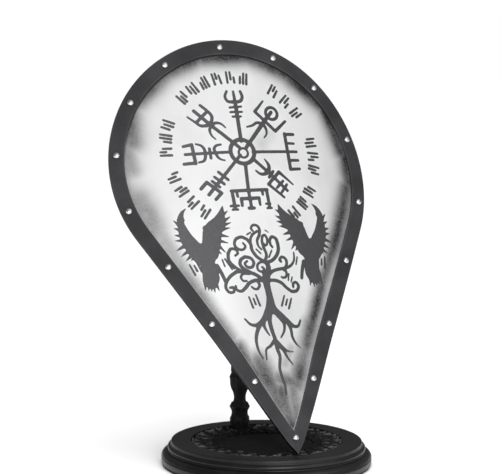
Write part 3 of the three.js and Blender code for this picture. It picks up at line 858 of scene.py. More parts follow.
def plate_material(finish):
    """Brushed steel, darkened by burnish clouds, with worn-edged grey paint where the figures are, the paint
    made lighter on the left as a painted reflection, and black painted shadow in the joint under the band.
    """
    material, tree, shader = new_material("plate_brushed_steel")
    place = object_place(tree, turn=(LEAN, 0, 0))
    brushed = use_group(tree, brushed_group(), Vector=place)
    clouds = noise(tree, place, 16.0, 3.0, 0.5)
    mottle = noise(tree, place, 330.0, 4.0, 0.65)
    burnish = attribute(tree, "burnish")
    uneven = ramp(tree, clouds, 0.3, 0.7, 0.9, 1.08)
    grainy = ramp(tree, mottle, 0.3, 0.7, 0.93, 1.07)
    shade = times(tree, burnish, times(tree, uneven, grainy), clamp=True)
    shade = plus(tree, shade, ramp(tree, clouds, 0.45, 0.8, 0.0, 0.09), clamp=True)
    steel = blend(tree, shade, tuple(finish.plate), tuple(finish.burnish))
    wobble = times(tree, calculate(tree, "SUBTRACT", noise(tree, place, 420.0, 2.0), 0.5), 0.7)
    edge = plus(tree, attribute(tree, "ink"), wobble)
    painted = ramp(tree, edge, -0.1, 0.55, 1.0, 0.0)
    # Painted reflection: the figures' grey runs lighter on the left and darker on the right, standing in for
    # the light reflected from the left
    across = node(tree, "ShaderNodeSeparateXYZ")
    link(tree, place, across.inputs[0])
    tone = ramp(tree, across.outputs["X"], -0.11, 0.1, 1.25, 0.62)
    tone = times(tree, tone, ramp(tree, mottle, 0.3, 0.7, 0.88, 1.14))
    tone = times(tree, tone, ramp(tree, edge, -1.5, -0.1, 1.1, 0.8))
    paint = scaled(tree, finish.paint, tone)
    # Painted shadow: the joint under the band's inner edge around the head is coloured black
    joint_shadow, black = times(tree, attribute(tree, "joint_shadow"), 0.96), (0.004, 0.004, 0.004, 1)
    dark = blend(tree, joint_shadow, blend(tree, painted, steel, paint), black)
    link(tree, dark, shader.inputs["Base Color"])
    covered = calculate(tree, "MAXIMUM", painted, joint_shadow)
    link(tree, calculate(tree, "SUBTRACT", 1.0, covered), shader.inputs["Metallic"])
    rough = ramp(tree, brushed.outputs["Smears"], 0.3, 0.7, 0.33, 0.43)
    rough = plus(tree, rough, times(tree, shade, 0.14))
    rough = plus(tree, rough, times(tree, covered, 0.14))
    link(tree, rough, shader.inputs["Roughness"])
    shader.inputs["Specular IOR Level"].default_value = 0.3
    height = times(tree, brushed.outputs["Lines"], 0.25)
    height = plus(tree, height, times(tree, painted, 0.6))
    bump(tree, shader, height, 0.00006, 0.7)
    return material


def band_material(finish):
    """Blackened steel with a fine satin grain, brighter along its edges as wear with a painted highlight, and
    black on its outer wall as painted shadow.
    """
    material, tree, shader = new_material("band_black_steel")
    place = object_place(tree)
    grain = use_group(tree, grain_group(), Vector=place)
    patches = ramp(tree, grain.outputs["Clouds"], 0.35, 0.65, 0.45, 1.0)
    # Brighter along the fold and the cut edges: edge wear together with a painted highlight where the edges
    # catch the light
    wear_and_sheen = times(tree, attribute(tree, "wear_and_sheen"), patches)
    tone = clouded(tree, grain, 0.82, 1.22)
    bright, black = (0.16, 0.16, 0.165, 1), (0.003, 0.003, 0.003, 1)
    base = blend(tree, wear_and_sheen, scaled(tree, finish.band, tone), bright)
    # Painted shadow: the band's outer wall is coloured black
    base = blend(tree, attribute(tree, "wall"), base, black)
    link(tree, base, shader.inputs["Base Color"])
    shader.inputs["Metallic"].default_value = 0.3
    shader.inputs["Specular IOR Level"].default_value = 0.3
    rough = ramp(tree, grain.outputs["Grain"], 0.3, 0.7, 0.46, 0.6)
    link(tree, rough, shader.inputs["Roughness"])
    bump(tree, shader, grain.outputs["Grain"], 0.00005, 0.6)
    return material


def rivet_material(finish):
    """Polished steel with faint hammer clouds."""
    material, tree, shader = new_material("rivet_polished_steel")
    grain = use_group(tree, grain_group(), Vector=object_place(tree), Scale=3.0)
    link(tree, clouded(tree, grain, 0.3, 0.38), shader.inputs["Roughness"])
    tone, dull = clouded(tree, grain, 0.0, 0.25), (0.6, 0.6, 0.6, 1)
    link(tree, blend(tree, tone, tuple(finish.rivet), dull), shader.inputs["Base Color"])
    shader.inputs["Metallic"].default_value = 1.0
    bump(tree, shader, grain.outputs["Clouds"], 0.0001, 0.2)
    return material


def lacquer_material(finish):
    """Black lacquer on turned and carved wood: satin on top, glossier on what stands up and greyer there as
    rubbed wear with a painted highlight, and dead black as painted shade in what lies low and on what faces
    down."""
    material, tree, shader = new_material("stand_black_lacquer")
    place = object_place(tree)
    grain = use_group(tree, grain_group(), Vector=place)
    tone = ramp(tree, grain.outputs["Clouds"], 0.35, 0.7, 0.0, 0.5)
    raised, hollow = attribute(tree, "raised"), attribute(tree, "hollow")
    base = blend(tree, tone, tuple(finish.lacquer), tuple(finish.lacquer_worn))
    # Leaf tops turned grey: rubbed wear with a painted highlight
    base = blend(tree, ramp(tree, raised, 0.75, 1.0, 0.0, 0.8), base, tuple(finish.lacquer_rubbed_highlight))
    # Painted shade: what lies low or faces down is coloured dead black
    black = (0.0008, 0.0008, 0.0008, 1)
    link(tree, blend(tree, hollow, base, black), shader.inputs["Base Color"])
    rough = clouded(tree, grain, 0.42, 0.52)
    rough = calculate(tree, "SUBTRACT", rough, times(tree, raised, 0.16))
    rough = plus(tree, rough, times(tree, hollow, 0.45), clamp=True)
    link(tree, rough, shader.inputs["Roughness"])
    shader.inputs["Specular IOR Level"].default_value = 0.42
    bump(tree, shader, grain.outputs["Grain"], 0.00005, 0.6)
    return material


def leather_material(finish):
    """Oiled harness leather: pebbled grain, darker burnished edges, lighter where it is rubbed."""
    material, tree, shader = new_material("strap_brown_leather")
    place = object_place(tree)
    cells = node(tree, "ShaderNodeTexVoronoi", feature="DISTANCE_TO_EDGE")
    link(tree, place, cells.inputs["Vector"])
    cells.inputs["Scale"].default_value = 900.0
    grain = use_group(tree, grain_group(), Vector=place)
    tone = clouded(tree, grain, 0.75, 1.5)
    dark = (0.018, 0.009, 0.005, 1)
    base = scaled(tree, finish.leather, tone)
    link(tree, blend(tree, attribute(tree, "edge"), base, dark), shader.inputs["Base Color"])
    link(tree, clouded(tree, grain, 0.45, 0.62), shader.inputs["Roughness"])
    height = plus(tree, ramp(tree, cells.outputs["Distance"], 0.0, 0.25), grain.outputs["Grain"])
    bump(tree, shader, height, 0.00012, 0.6)
    return material


def thread_material(finish):
    """Waxed linen thread with a twisted ply."""
    material, tree, shader = new_material("strap_waxed_thread")
    place = object_place(tree)
    wave = node(tree, "ShaderNodeTexWave", bands_direction="DIAGONAL")
    link(tree, place, wave.inputs["Vector"])
    wave.inputs["Scale"].default_value = 900.0
    dark = tuple(c * 0.6 for c in finish.thread[:3]) + (1,)
    link(tree, blend(tree, wave.outputs["Fac"], tuple(finish.thread), dark), shader.inputs["Base Color"])
    shader.inputs["Roughness"].default_value = 0.7
    bump(tree, shader, wave.outputs["Fac"], 0.0001, 0.5)
    return material


# Pieces of the shield


def plate_uv(u, v, back):
    """Flat pattern to texture: the front fills the square's height, the back is smaller beside it."""
    if back:
        return np.stack([0.82 - u * 0.9, 0.5 + v * 0.75], axis=-1)
    return np.stack([0.325 + u * 1.6, 0.01 + v * 1.6], axis=-1)


class KITE_OT_plate(bpy.types.Operator):
    """Builds the rolled plate: a fine grid in front that carries the paint, a coarser one behind"""

    bl_idname = "kite_shield.plate"
    bl_label = "Plate"

    def execute(self, context):
        sizes, paint = context.scene.kite_shield_sizes, context.scene.kite_shield_paint
        front = sizes.band_gauge + sizes.gap
        back = front + sizes.plate_gauge
        under_band = 8 * MM
        inner = sizes.band_width - under_band
        # Columns as parts of the half width: nearly even, and closer together at both sides
        even = np.linspace(-1, 1, sizes.columns + 1)
        middle = even * (0.82 + 0.153 * even**6)
        ends = 1 - 0.027 * np.linspace(1, 0, 7)[1:] ** 2
        s = np.concatenate([-ends[::-1], middle, ends])
        points, flat, quads, triangles, loops = [], [], [], [], []
        back_rows, back_shade = 14, 0.25

        def sheet(rows, inset, depth, flip):
            """One face of the plate: columns between the outline's edges, closed by a point each side."""
            start = sum(len(part) for part in points)
            u, low, high = outline_ends(sizes, inset, s)
            t = np.linspace(0, 1, rows + 1)[:, None]
            v = low + (high - low) * t
            uu = np.broadcast_to(u, v.shape)
            mid_u, mid_v = uu[:, 1:-1].ravel(), v[:, 1:-1].ravel()
            all_u = np.concatenate([mid_u, u[[0, -1]]])
            all_v = np.concatenate([mid_v, low[[0, -1]]])
            points.append(on_shell(sizes, all_u, all_v, depth))
            flat.append(np.stack([all_u, all_v], axis=1))
            count = len(s) - 2
            faces = grid_quads(rows + 1, count, start)
            quads.append(faces[:, ::-1] if flip else faces)
            left = start + (rows + 1) * count
            right = left + 1
            first = start + np.arange(rows) * count
            last = first + count - 1
            poles = [
                np.stack([np.full(rows, left), first, first + count], axis=1),
                np.stack([np.full(rows, right), last + count, last], axis=1),
            ]
            triangles.extend(p[:, ::-1] if flip else p for p in poles)
            bottom = start + np.arange(count)
            top = start + rows * count + np.arange(count)[::-1]
            return np.concatenate([[left], bottom, [right], top])

        def loop(inset, depth):
            """The same steps around the outline, set in."""
            start = sum(len(part) for part in points)
            u, low, high = outline_ends(sizes, inset, s)
            all_u = np.concatenate([u, u[-2:0:-1]])
            all_v = np.concatenate([low, high[-2:0:-1]])
            points.append(on_shell(sizes, all_u, all_v, depth))
            flat.append(np.stack([all_u, all_v], axis=1))
            return start + np.arange(len(all_u))

        edge, soft = sizes.band_gauge + sizes.gap, 0.3 * MM
        loops.append(sheet(sizes.rows, inner, front, False))
        loops.append(loop(edge + soft, front))
        loops.append(loop(edge, front + soft))
        loops.append(loop(edge, back - soft))
        loops.append(loop(edge + soft, back))
        loops.append(sheet(back_rows, inner, back, True))
        for near, far in zip(loops, loops[1:]):
            quads.append(np.stack([near, far, np.roll(far, -1), np.roll(near, -1)], axis=1))
        all_points = np.concatenate(points)
        all_flat = np.concatenate(flat)
        all_quads, all_triangles = np.concatenate(quads), np.concatenate(triangles)
        corners = np.concatenate([all_quads.ravel(), all_triangles.ravel()])
        behind = len(all_points) - len(points[-1]) - len(points[-2])
        corner_counts = np.concatenate([np.full(len(all_quads), 4), np.full(len(all_triangles), 3)])
        lowest = np.concatenate([all_quads.min(axis=1), all_triangles.min(axis=1)])
        on_back = np.repeat(lowest >= behind, corner_counts)
        u, v = all_flat[corners, 0], all_flat[corners, 1]
        uv = np.where(on_back[:, None], plate_uv(u, v, True), plate_uv(u, v, False))
        ink = np.full(len(all_points), Drawing.far)
        in_front = len(points[0])
        ink[:in_front] = paint_distance(all_flat[:in_front, 0], all_flat[:in_front, 1], paint)
        burnish = burnish_shade(sizes, all_flat[:, 0], all_flat[:, 1])
        burnish[behind:] = back_shade
        # The joint's black is painted shadow under the band's inner edge, on the front only
        joint_shadow = joint_shade(sizes, all_flat[:, 0], all_flat[:, 1])
        joint_shadow[behind:] = 0.0
        piece = make_piece(
            "plate_sheet",
            all_points,
            all_quads,
            all_triangles,
            [plate_material(context.scene.kite_shield_finish)],
            uv,
            {"ink": ink, "burnish": burnish, "joint_shadow": joint_shadow},
        )
        finish_piece(piece, "plate_steel", "shield_plate")
        return {"FINISHED"}


def band_section(sizes):
    """The band's angle section as (inset, depth, wear and painted sheen): rounded fold, face, cut inner edge,
    underside, lip.
    """
    g, w, lip = sizes.band_gauge, sizes.band_width, sizes.lip
    fold = 0.6 * MM
    cut = 0.25 * MM
    bend = np.radians(np.linspace(0, 90, 7))
    outer = [(fold - fold * math.cos(a), fold - fold * math.sin(a), 0.12) for a in bend]
    face = [(w * share_of, 0.0, 0.0) for share_of in (0.1, 0.3, 0.5, 0.7, 0.9)]
    inner_edge = [(w - cut, 0.0, 0.2), (w, cut, 0.2), (w, g - cut, 0.0), (w - cut, g, 0.0)]
    under = [(w * 0.5, g, 0.0), (g + fold, g, 0.0), (g, g + fold, 0.0)]
    end = [(g, lip - cut, 0.0), (g - cut, lip, 0.2), (cut, lip, 0.2)]
    wall = [(0.0, lip - cut, 0.2), (0.0, lip * 0.5, 0.0)]
    return np.array(outer + face + inner_edge + under + end + wall)


class KITE_OT_band(bpy.types.Operator):
    """Builds the folded band: its section is carried around the teardrop outline"""

    bl_idname = "kite_shield.band"
    bl_label = "Band"

    def execute(self, context):
        sizes = context.scene.kite_shield_sizes
        section = band_section(sizes)
        side_steps, arc_steps = 110, 260
        seam_depth, wall_edge = 0.35 * MM, 0.3 * MM
        rows = []
        for inset, depth, _ in section:
            outline = teardrop(sizes, inset, side_steps, arc_steps)
            outline[:, 1] -= tip_drop(sizes, outline[:, 1], inset)
            depths = np.full(len(outline), depth)
            if depth < sizes.band_gauge / 2 and inset > 1 * MM:
                depths[0] += seam_depth
            rows.append(on_shell(sizes, outline[:, 0], outline[:, 1], depths))
        columns = len(rows[0])
        # The third column brightens the fold and the cut edges: wear with a painted highlight
        wear_and_sheen = np.repeat(section[:, 2], columns)
        # The wall rows are marked to go black: painted shadow on the fold's outer side
        on_wall = (section[:, 0] < wall_edge) & (section[:, 1] > wall_edge)
        wall = np.repeat(on_wall.astype(float), columns)
        quads = grid_quads(len(section), columns, wrap_rows=True, wrap_columns=True)
        steel = band_material(context.scene.kite_shield_finish)
        values = {"wear_and_sheen": wear_and_sheen, "wall": wall}
        piece = make_piece("band_folded", np.concatenate(rows), quads, materials=[steel], values=values)
        finish_piece(piece, "band_steel", "rim_band")
        return {"FINISHED"}


TAIL_HEIGHT = 1.1 * MM


def rivet_profile(sizes):
    """Half section of a rivet as (radius, out): dome, shank, hammered tail."""
    dome = np.radians(np.linspace(0, 90, 9))
    bulge = 0.86
    profile = [
        (sizes.rivet_radius * math.sin(a) ** bulge, sizes.gap + sizes.rivet_height * math.cos(a) ** bulge)
        for a in dome[1:]
    ]
    back = sizes.band_gauge + sizes.gap + sizes.plate_gauge + sizes.gap
    shank, tail = 2.0 * MM, 3.4 * MM
    profile += [(sizes.rivet_radius * 0.96, sizes.gap), (shank, sizes.gap)]
    profile += [(shank, -back), (tail * 0.95, -back)]
    for degrees in (10, 35, 60, 80):
        a = math.radians(degrees)
        profile.append((tail * math.cos(a) ** 0.7, -back - TAIL_HEIGHT * math.sin(a)))
    return np.array(profile), sizes.gap + sizes.rivet_height, -back - TAIL_HEIGHT


class KITE_OT_rivets(bpy.types.Operator):
    """Builds the dome rivets where the solid rivets are: one profile turned about each one's axis"""

    bl_idname = "kite_shield.rivets"
    bl_label = "Rivets"

    def execute(self, context):
        sizes = context.scene.kite_shield_sizes
        material = rivet_material(context.scene.kite_shield_finish)
        profile, top, bottom = rivet_profile(sizes)
        steps = 28
        turn = np.linspace(0, 2 * math.pi, steps, endpoint=False)
        # How far the middle of a solid rivet stands out from the band's face
        reach = (sizes.rivet_height - sizes.plate_gauge - sizes.band_gauge - TAIL_HEIGHT - sizes.gap) / 2
        for name in sorted(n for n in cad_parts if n.startswith("rivet_")):
            low, high = (np.array(corner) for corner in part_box(name))
            middle = (low + high) / 2
            u = middle[0]
            # The axis turns with the place of its foot, so the two are found in a few rounds
            for _ in range(4):
                across, up, out = shell_axes(sizes, u)
                foot = middle - out * reach
                u = sizes.roll * math.asin(foot[0] / sizes.roll)
            circle = np.cos(turn)[None, :, None] * across + np.sin(turn)[None, :, None] * up
            turned = profile[:, 0, None, None] * circle + profile[:, 1, None, None] * out
            skin = capped_tube(turned + foot, out * top + foot, out * bottom + foot)
            piece = make_piece(name.replace("rivet", "dome_rivet"), *skin, [material])
            finish_piece(piece, "rivet_steel", name)
        return {"FINISHED"}


# Straps on the back: place across the plate, width, half the way between the feet, and rise
STRAPS = {
    "arm": {"u": -84 * MM, "width": 34 * MM, "half_span": 62 * MM, "rise": 60 * MM},
    "grip": {"u": 84 * MM, "width": 26 * MM, "half_span": 50 * MM, "rise": 42 * MM},
}
STRAP_MIDDLE = 402 * MM
STRAP_GAUGE = 3.2 * MM
STRAP_FOOT = 24 * MM
BRIDGE_WALL = 3 * MM
BRIDGE_LENGTH = 8 * MM


def strap_frame(sizes, strap):
    """Origin and axes of a strap: across it, along it up the plate, and away from the back."""
    back = sizes.band_gauge + sizes.gap + sizes.plate_gauge
    reach = strap["width"] / 2 + 2 * sizes.gap + BRIDGE_WALL
    hollow = reach**2 / (2 * (sizes.roll - back))
    origin = on_shell(sizes, np.array(strap["u"]), np.array(STRAP_MIDDLE), back + sizes.gap + hollow)
    across, up, out = shell_axes(sizes, strap["u"])
    return origin, across, up, -out


def from_strap(axes, x, along, lift):
    """Places in the shared frame of places measured from a strap's origin along its three axes."""
    origin, across, up, away = axes
    return origin + x[..., None] * across + along[..., None] * up + lift[..., None] * away


def strap_path(strap):
    """Middle line of a strap as (along, away): flat foot, squarish arch, flat foot, with soft turns."""
    squareness = 0.75
    a = np.linspace(0, math.pi, 90)
    along = strap["half_span"] * np.sign(np.cos(a)) * np.abs(np.cos(a)) ** squareness
    lift = (strap["rise"] - STRAP_GAUGE) * np.sin(a) ** squareness
    end = strap["half_span"] + STRAP_FOOT
    inner = strap["half_span"] + 2 * MM
    foot = np.linspace(end, inner, 12)
    flat = np.zeros_like(foot)
    along = np.concatenate([foot, along * (1 - STRAP_GAUGE / 2 / strap["half_span"]), -foot[::-1]])
    lift = np.concatenate([flat, lift, flat]) + STRAP_GAUGE / 2
    path = np.stack([along, lift], axis=1)
    for _ in range(6):
        path[1:-1] = path[1:-1] * 0.5 + (path[:-2] + path[2:]) * 0.25
    return path


def path_normals(path):
    """Unit vectors along a path and square to it, at each of its points."""
    slope = np.gradient(path, axis=0)
    slope /= np.linalg.norm(slope, axis=1, keepdims=True)
    return slope, np.stack([slope[:, 1], -slope[:, 0]], axis=1)


def carried(path, y):
    """A section's heights y, square to the path at each of its points, and never below the plate's back."""
    _, normal = path_normals(path)
    return path[:, 0, None] + normal[:, 0, None] * y, np.maximum(path[:, 1, None] + normal[:, 1, None] * y, 0)


def rounded_section(half_width, half_gauge, power=0.35, steps=28):
    """A rounded rectangle: a circle whose cosine and sine are raised to a low power."""
    a = np.linspace(0, 2 * math.pi, steps, endpoint=False)
    x = half_width * np.sign(np.cos(a)) * np.abs(np.cos(a)) ** power
    y = half_gauge * np.sign(np.sin(a)) * np.abs(np.sin(a)) ** (power + 0.25)
    return x, y


class KITE_OT_straps(bpy.types.Operator):
    """Builds the leather straps, their stitches, and the steel bridges that hold their feet"""

    bl_idname = "kite_shield.straps"
    bl_label = "Straps"

    def execute(self, context):
        sizes, finish = context.scene.kite_shield_sizes, context.scene.kite_shield_finish
        leather, thread = leather_material(finish), thread_material(finish)
        steel = bpy.data.materials.get("band_black_steel") or band_material(finish)
        for name, strap in STRAPS.items():
            self.build_strap(sizes, name, strap, leather)
            self.build_stitches(sizes, name, strap, thread)
            for end, sign in (("upper", 1), ("lower", -1)):
                self.build_bridge(sizes, f"{name}_bridge_{end}", strap, sign, steel)
        return {"FINISHED"}

    def build_strap(self, sizes, name, strap, material):
        """A rounded strip carried along the strap's middle line."""
        path = strap_path(strap)
        x, y = rounded_section(strap["width"] / 2, STRAP_GAUGE / 2 * 0.97)
        along, lift = carried(path, y)
        taper = np.ones(len(path))
        taper[[0, -1]] = 0.9
        rings = from_strap(strap_frame(sizes, strap), x * taper[:, None], along, lift)
        edge = np.tile(smoothstep(0.86, 0.97, np.abs(x) / (strap["width"] / 2)), len(path))
        edge = np.concatenate([edge, [1, 1]])
        piece = make_piece(f"{name}_leather", *capped_tube(rings), [material], values={"edge": edge})
        finish_piece(piece, "strap_leather", f"{name}_strap")

    def build_stitches(self, sizes, name, strap, material):
        """Short round-ended stitches in two rows along the arch, lying on the leather's outside."""
        axes = strap_frame(sizes, strap)
        path = strap_path(strap)[16:-16]
        step = travelled(path)
        pitch, stitch, thick, sunk, from_edge = 5.0 * MM, 3.6 * MM, 0.45 * MM, 0.12 * MM, 3.2 * MM
        centres = np.arange(pitch / 2, step[-1] - pitch / 2, pitch)
        tangent, normal = path_normals(path)
        parts, faces, caps, total = [], [], [], 0
        t = np.linspace(-1, 1, 7)
        ring = np.linspace(0, 2 * math.pi, 6, endpoint=False)
        radius = thick * np.sqrt(np.maximum(1 - t**4, 0.02))
        for side in (-1, 1):
            for centre in centres:
                spot, run, out = (
                    np.array([np.interp(centre, step, line[:, k]) for k in (0, 1)])
                    for line in (path, tangent, normal)
                )
                out = out if out @ spot > 0 else -out
                base = spot + out * (STRAP_GAUGE / 2 - sunk)
                along = base[0] + run[0] * t[:, None] * stitch / 2 + out[0] * radius[:, None] * np.sin(ring)
                lift = base[1] + run[1] * t[:, None] * stitch / 2 + out[1] * radius[:, None] * np.sin(ring)
                over = side * (strap["width"] / 2 - from_edge) + radius[:, None] * np.cos(ring)
                points, quads, triangles = capped_tube(from_strap(axes, over, along, lift))
                parts.append(points)
                faces.append(quads + total)
                caps.append(triangles + total)
                total += len(points)
        skin = (np.concatenate(group) for group in (parts, faces, caps))
        piece = make_piece(f"{name}_stitches", *skin, [material])
        finish_piece(piece, "strap_leather")

    def build_bridge(self, sizes, name, strap, sign, material):
        """A rounded bar bent over the strap's foot: its section follows two legs, round bends and a bar."""
        inside = strap["width"] / 2 + 2 * sizes.gap + BRIDGE_WALL / 2
        top = STRAP_GAUGE + sizes.gap + BRIDGE_WALL / 2
        bend = 1.6 * MM
        path = [(-inside, 0.0), (-inside, top * 0.4)]
        for a in np.radians([180, 157, 135, 112, 90]):
            path.append((-inside + bend + bend * math.cos(a), top - bend + bend * math.sin(a)))
        path += [(0.0, top)]
        path += [(-p[0], p[1]) for p in path[-2::-1]]
        z, y = rounded_section(BRIDGE_LENGTH / 2, BRIDGE_WALL / 2, 0.4, 20)
        middle = sign * (strap["half_span"] + STRAP_FOOT / 2)
        x, lift = carried(np.array(path), y)
        along = np.broadcast_to(middle + z, x.shape)
        skin = capped_tube(from_strap(strap_frame(sizes, strap), x, along, lift))
        rubbed = 0.5 * smoothstep(0.8, 1.0, np.abs(z) / (BRIDGE_LENGTH / 2))
        wear_and_sheen = np.concatenate([np.tile(rubbed, len(path)), [0, 0]])
        piece = make_piece(name.replace("bridge", "keeper"), *skin, [material], values={"wear_and_sheen": wear_and_sheen})
        finish_piece(piece, "band_steel", name)


# The stand

# Times that the carving repeats around the base, and around the post
LEAVES = 15
LOBES = 6
WALL_GAP = 0.3 * MM


def leaf_scale(p, q, rib=0.35):
    """One leaf on a unit cell: a dome over |p| < 1/2 and 0 < q < 1, round at the tip, with a groove down
    its middle and faint veins."""
    half = 0.52 * np.sqrt(np.clip(np.sin(np.pi * np.clip(0.14 + 0.8 * q, 0, 1)), 0, 1))
    inside = np.clip(1 - (p / np.maximum(half, 1e-4)) ** 2, 0, 1)
    dome = inside**0.5 * (0.35 + 0.65 * np.clip(q, 0, 1) ** 0.8)
    dome = dome * smoothstep(-0.02, 0.08, q) * (1 - smoothstep(0.93, 1.0, q))
    groove = rib * np.exp(-((p / 0.07) ** 2)) * inside * (1 - q * 0.6)
    veins = 0.07 * np.cos(2 * np.pi * (5.5 * q - 4.0 * np.abs(p))) * inside
    return np.clip(dome - groove * dome + veins * (dome > 0.1), 0, None)


def cell(value):
    """Place within a repeated cell, from minus a half to a half."""
    return value - np.floor(value) - 0.5


def base_relief(stand, angle, radius):
    """Height of the carving over the floor: rows of small curled leaves that sink from the wall inwards,
    nudged about by slow waves so that no two are alike."""
    outer = stand.recess - WALL_GAP
    across = (radius - outer + stand.leaf_ring) / stand.leaf_ring
    across = across + 0.02 * np.sin(23 * angle + 1.3) + 0.015 * np.sin(41 * angle + 7 * across)
    turn = angle * LEAVES / (2 * math.pi) + 0.05 * np.sin(7 * angle) + 0.04 * np.sin(17 * angle + 5 * across)
    wall = 1.0 * leaf_scale(cell(4 * turn + 0.2), (across - 0.74) / 0.27, 0.25)
    outward = 0.98 * leaf_scale(cell(2 * turn + 0.5 * across), (across - 0.5) / 0.4)
    middle = 0.8 * leaf_scale(cell(2 * turn + 0.5 - 0.6 * across), (0.74 - across) / 0.4)
    inward = 0.62 * leaf_scale(cell(3 * turn + 0.3 + 0.5 * across), (0.46 - across) / 0.36, 0.25)
    curl = np.hypot(cell(2 * turn + 0.1) * 0.8, (across - 0.56) * 1.7)
    bead = 0.95 * np.sqrt(np.clip(1 - (curl / 0.2) ** 2, 0, 1)) * (1 - 0.6 * np.exp(-((curl / 0.07) ** 2)))
    height = np.maximum.reduce([wall, outward, middle, inward, bead])
    height = height * (1 + 0.14 * np.sin(11 * angle + 9 * across) * np.cos(5 * angle))
    ring = smoothstep(-0.02, 0.05, across) * (1 - smoothstep(0.985, 1.0, across))
    return stand.leaf_height * height * ring, height * ring


def base_profile(stand):
    """Half section of the base's outside as (radius, height), from the recess wall to the underside."""
    border, top, widest = stand.border, stand.height, stand.radius
    bead = 3.6 * MM
    waist = border + bead
    bead_middle = top - 9.6 * MM
    roll_top = bead_middle - bead - 1 * MM
    foot_edge, hollow_edge = 142 * MM, 70 * MM
    points = []

    def arc(x, z, rx, rz, start, end, steps):
        for a in np.radians(np.linspace(start, end, steps)):
            points.append((x + rx * math.cos(a), z + rz * math.sin(a)))

    arc(stand.recess + 0.8 * MM, top - 0.8 * MM, 0.8 * MM, 0.8 * MM, 180, 90, 5)
    points.extend((stand.recess + (border - stand.recess) * k, top) for k in (0.25, 0.5, 0.75))
    arc(border - 0.2 * MM, top - 1.0 * MM, 1.2 * MM, 1.0 * MM, 90, 0, 6)
    cove = ((1.4 * MM, 3.6 * MM), (1.5 * MM, 4.4 * MM), (0.9 * MM, 5.0 * MM))
    points.extend((border + out, top - down) for out, down in cove)
    arc(waist - 1 * MM, bead_middle, bead, bead, 70, -64, 14)
    points.append((waist + 1.8 * MM, roll_top + 0.1 * MM))
    arc(waist + 2.6 * MM, roll_top - 7.6 * MM, widest - waist - 2.6 * MM, 7.4 * MM, 92, 8, 16)
    groove = ((0.15 * MM, 13.6 * MM), (0.9 * MM, 13.0 * MM), (0.9 * MM, 12.4 * MM), (0.1 * MM, 11.8 * MM))
    points.extend((widest - depth, z) for depth, z in groove)
    points.append((widest, 9 * MM))
    arc(widest - 4.6 * MM, 5 * MM, 4.6 * MM, 4.9 * MM, 0, -84, 10)
    points.extend(((foot_edge, 0.0), (hollow_edge, 0.0)))
    return np.array(points)


class KITE_OT_base(bpy.types.Operator):
    """Builds the base: rings around its axis, over the floor and the carved leaves and down the mouldings"""

    bl_idname = "kite_shield.base"
    bl_label = "Base"

    def execute(self, context):
        stand = context.scene.kite_shield_stand
        columns, floor_rings, leaf_rings = 720, 7, 64
        angle = np.linspace(0, 2 * math.pi, columns, endpoint=False)
        floor = stand.height - stand.recess_depth
        outer = stand.recess - WALL_GAP
        inner = outer - stand.leaf_ring
        section = [(r, floor) for r in np.linspace(8 * MM, inner - 1 * MM, floor_rings)]
        section += [(r, floor) for r in np.linspace(inner, outer, leaf_rings)]
        section += [(stand.recess, floor + 0.2 * MM), (stand.recess, stand.height - 2.5 * MM)]
        section = np.concatenate([section, base_profile(stand)])
        row = np.arange(len(section))
        sunk = row < floor_rings + leaf_rings
        carved = sunk & (row >= floor_rings)
        radius = section[:, :1]
        x, y = radius * np.cos(angle), radius * np.sin(angle)
        height = np.broadcast_to(section[:, 1:], x.shape).copy()
        lift, raised = base_relief(stand, angle, radius)
        post_room = (13.0 * MM, 15.5 * MM)
        clear = smoothstep(*post_room, np.hypot(x, y - stand.post_back))
        height[carved] += (lift * clear)[carved]
        seat_half, seat_back, seat_depth, seat_edge = (5.5 * MM, 6 * MM), 2.6 * MM, 2.3 * MM, 1.15
        seat = np.maximum(np.abs(x) / seat_half[0], np.abs(y - TIP_Y - seat_back) / seat_half[1])
        dish = stand.height - seat_depth + 3.0 * MM * smoothstep(0.75, seat_edge, seat)
        height = np.where((y < 0) & (seat < seat_edge), np.minimum(height, dish), height)
        way = np.gradient(section, axis=0)
        upward = way[:, 0] / np.maximum(np.hypot(way[:, 0], way[:, 1]), 1e-9)
        turned = section[:, 0] > stand.border + 2 * MM
        shoulder = smoothstep(-0.35, 0.1, upward) * (1 - smoothstep(0.75, 0.98, upward))
        polish = np.where(turned, 0.7 * shoulder, 0.0)[:, None]
        # Painted shade: the downward-facing sides of the mouldings are marked to go dead black
        underside_shade = np.where(turned, 1 - smoothstep(-0.5, 0.0, upward), 0.0)[:, None]
        standing = np.where(carved[:, None], smoothstep(0.35, 0.85, raised) * clear, polish)
        # Painted shade: the sunk floor and the pits between the leaves are marked to go dead black
        low = np.where(sunk[:, None], 1 - smoothstep(0.3, 0.8, raised) * carved[:, None], underside_shade)
        masks = (("raised", standing, 0), ("hollow", low, 1))
        values = {key: np.append(np.broadcast_to(mask, x.shape), [middle, 0]) for key, mask, middle in masks}
        piece = make_piece(
            "base_turned",
            *capped_tube(np.stack([x, y, height], axis=-1), (0, 0, floor), (0, 0, 0)),
            [lacquer_material(context.scene.kite_shield_finish)],
            values=values,
        )
        finish_piece(piece, "stand_lacquer", "stand_base")
        return {"FINISHED"}


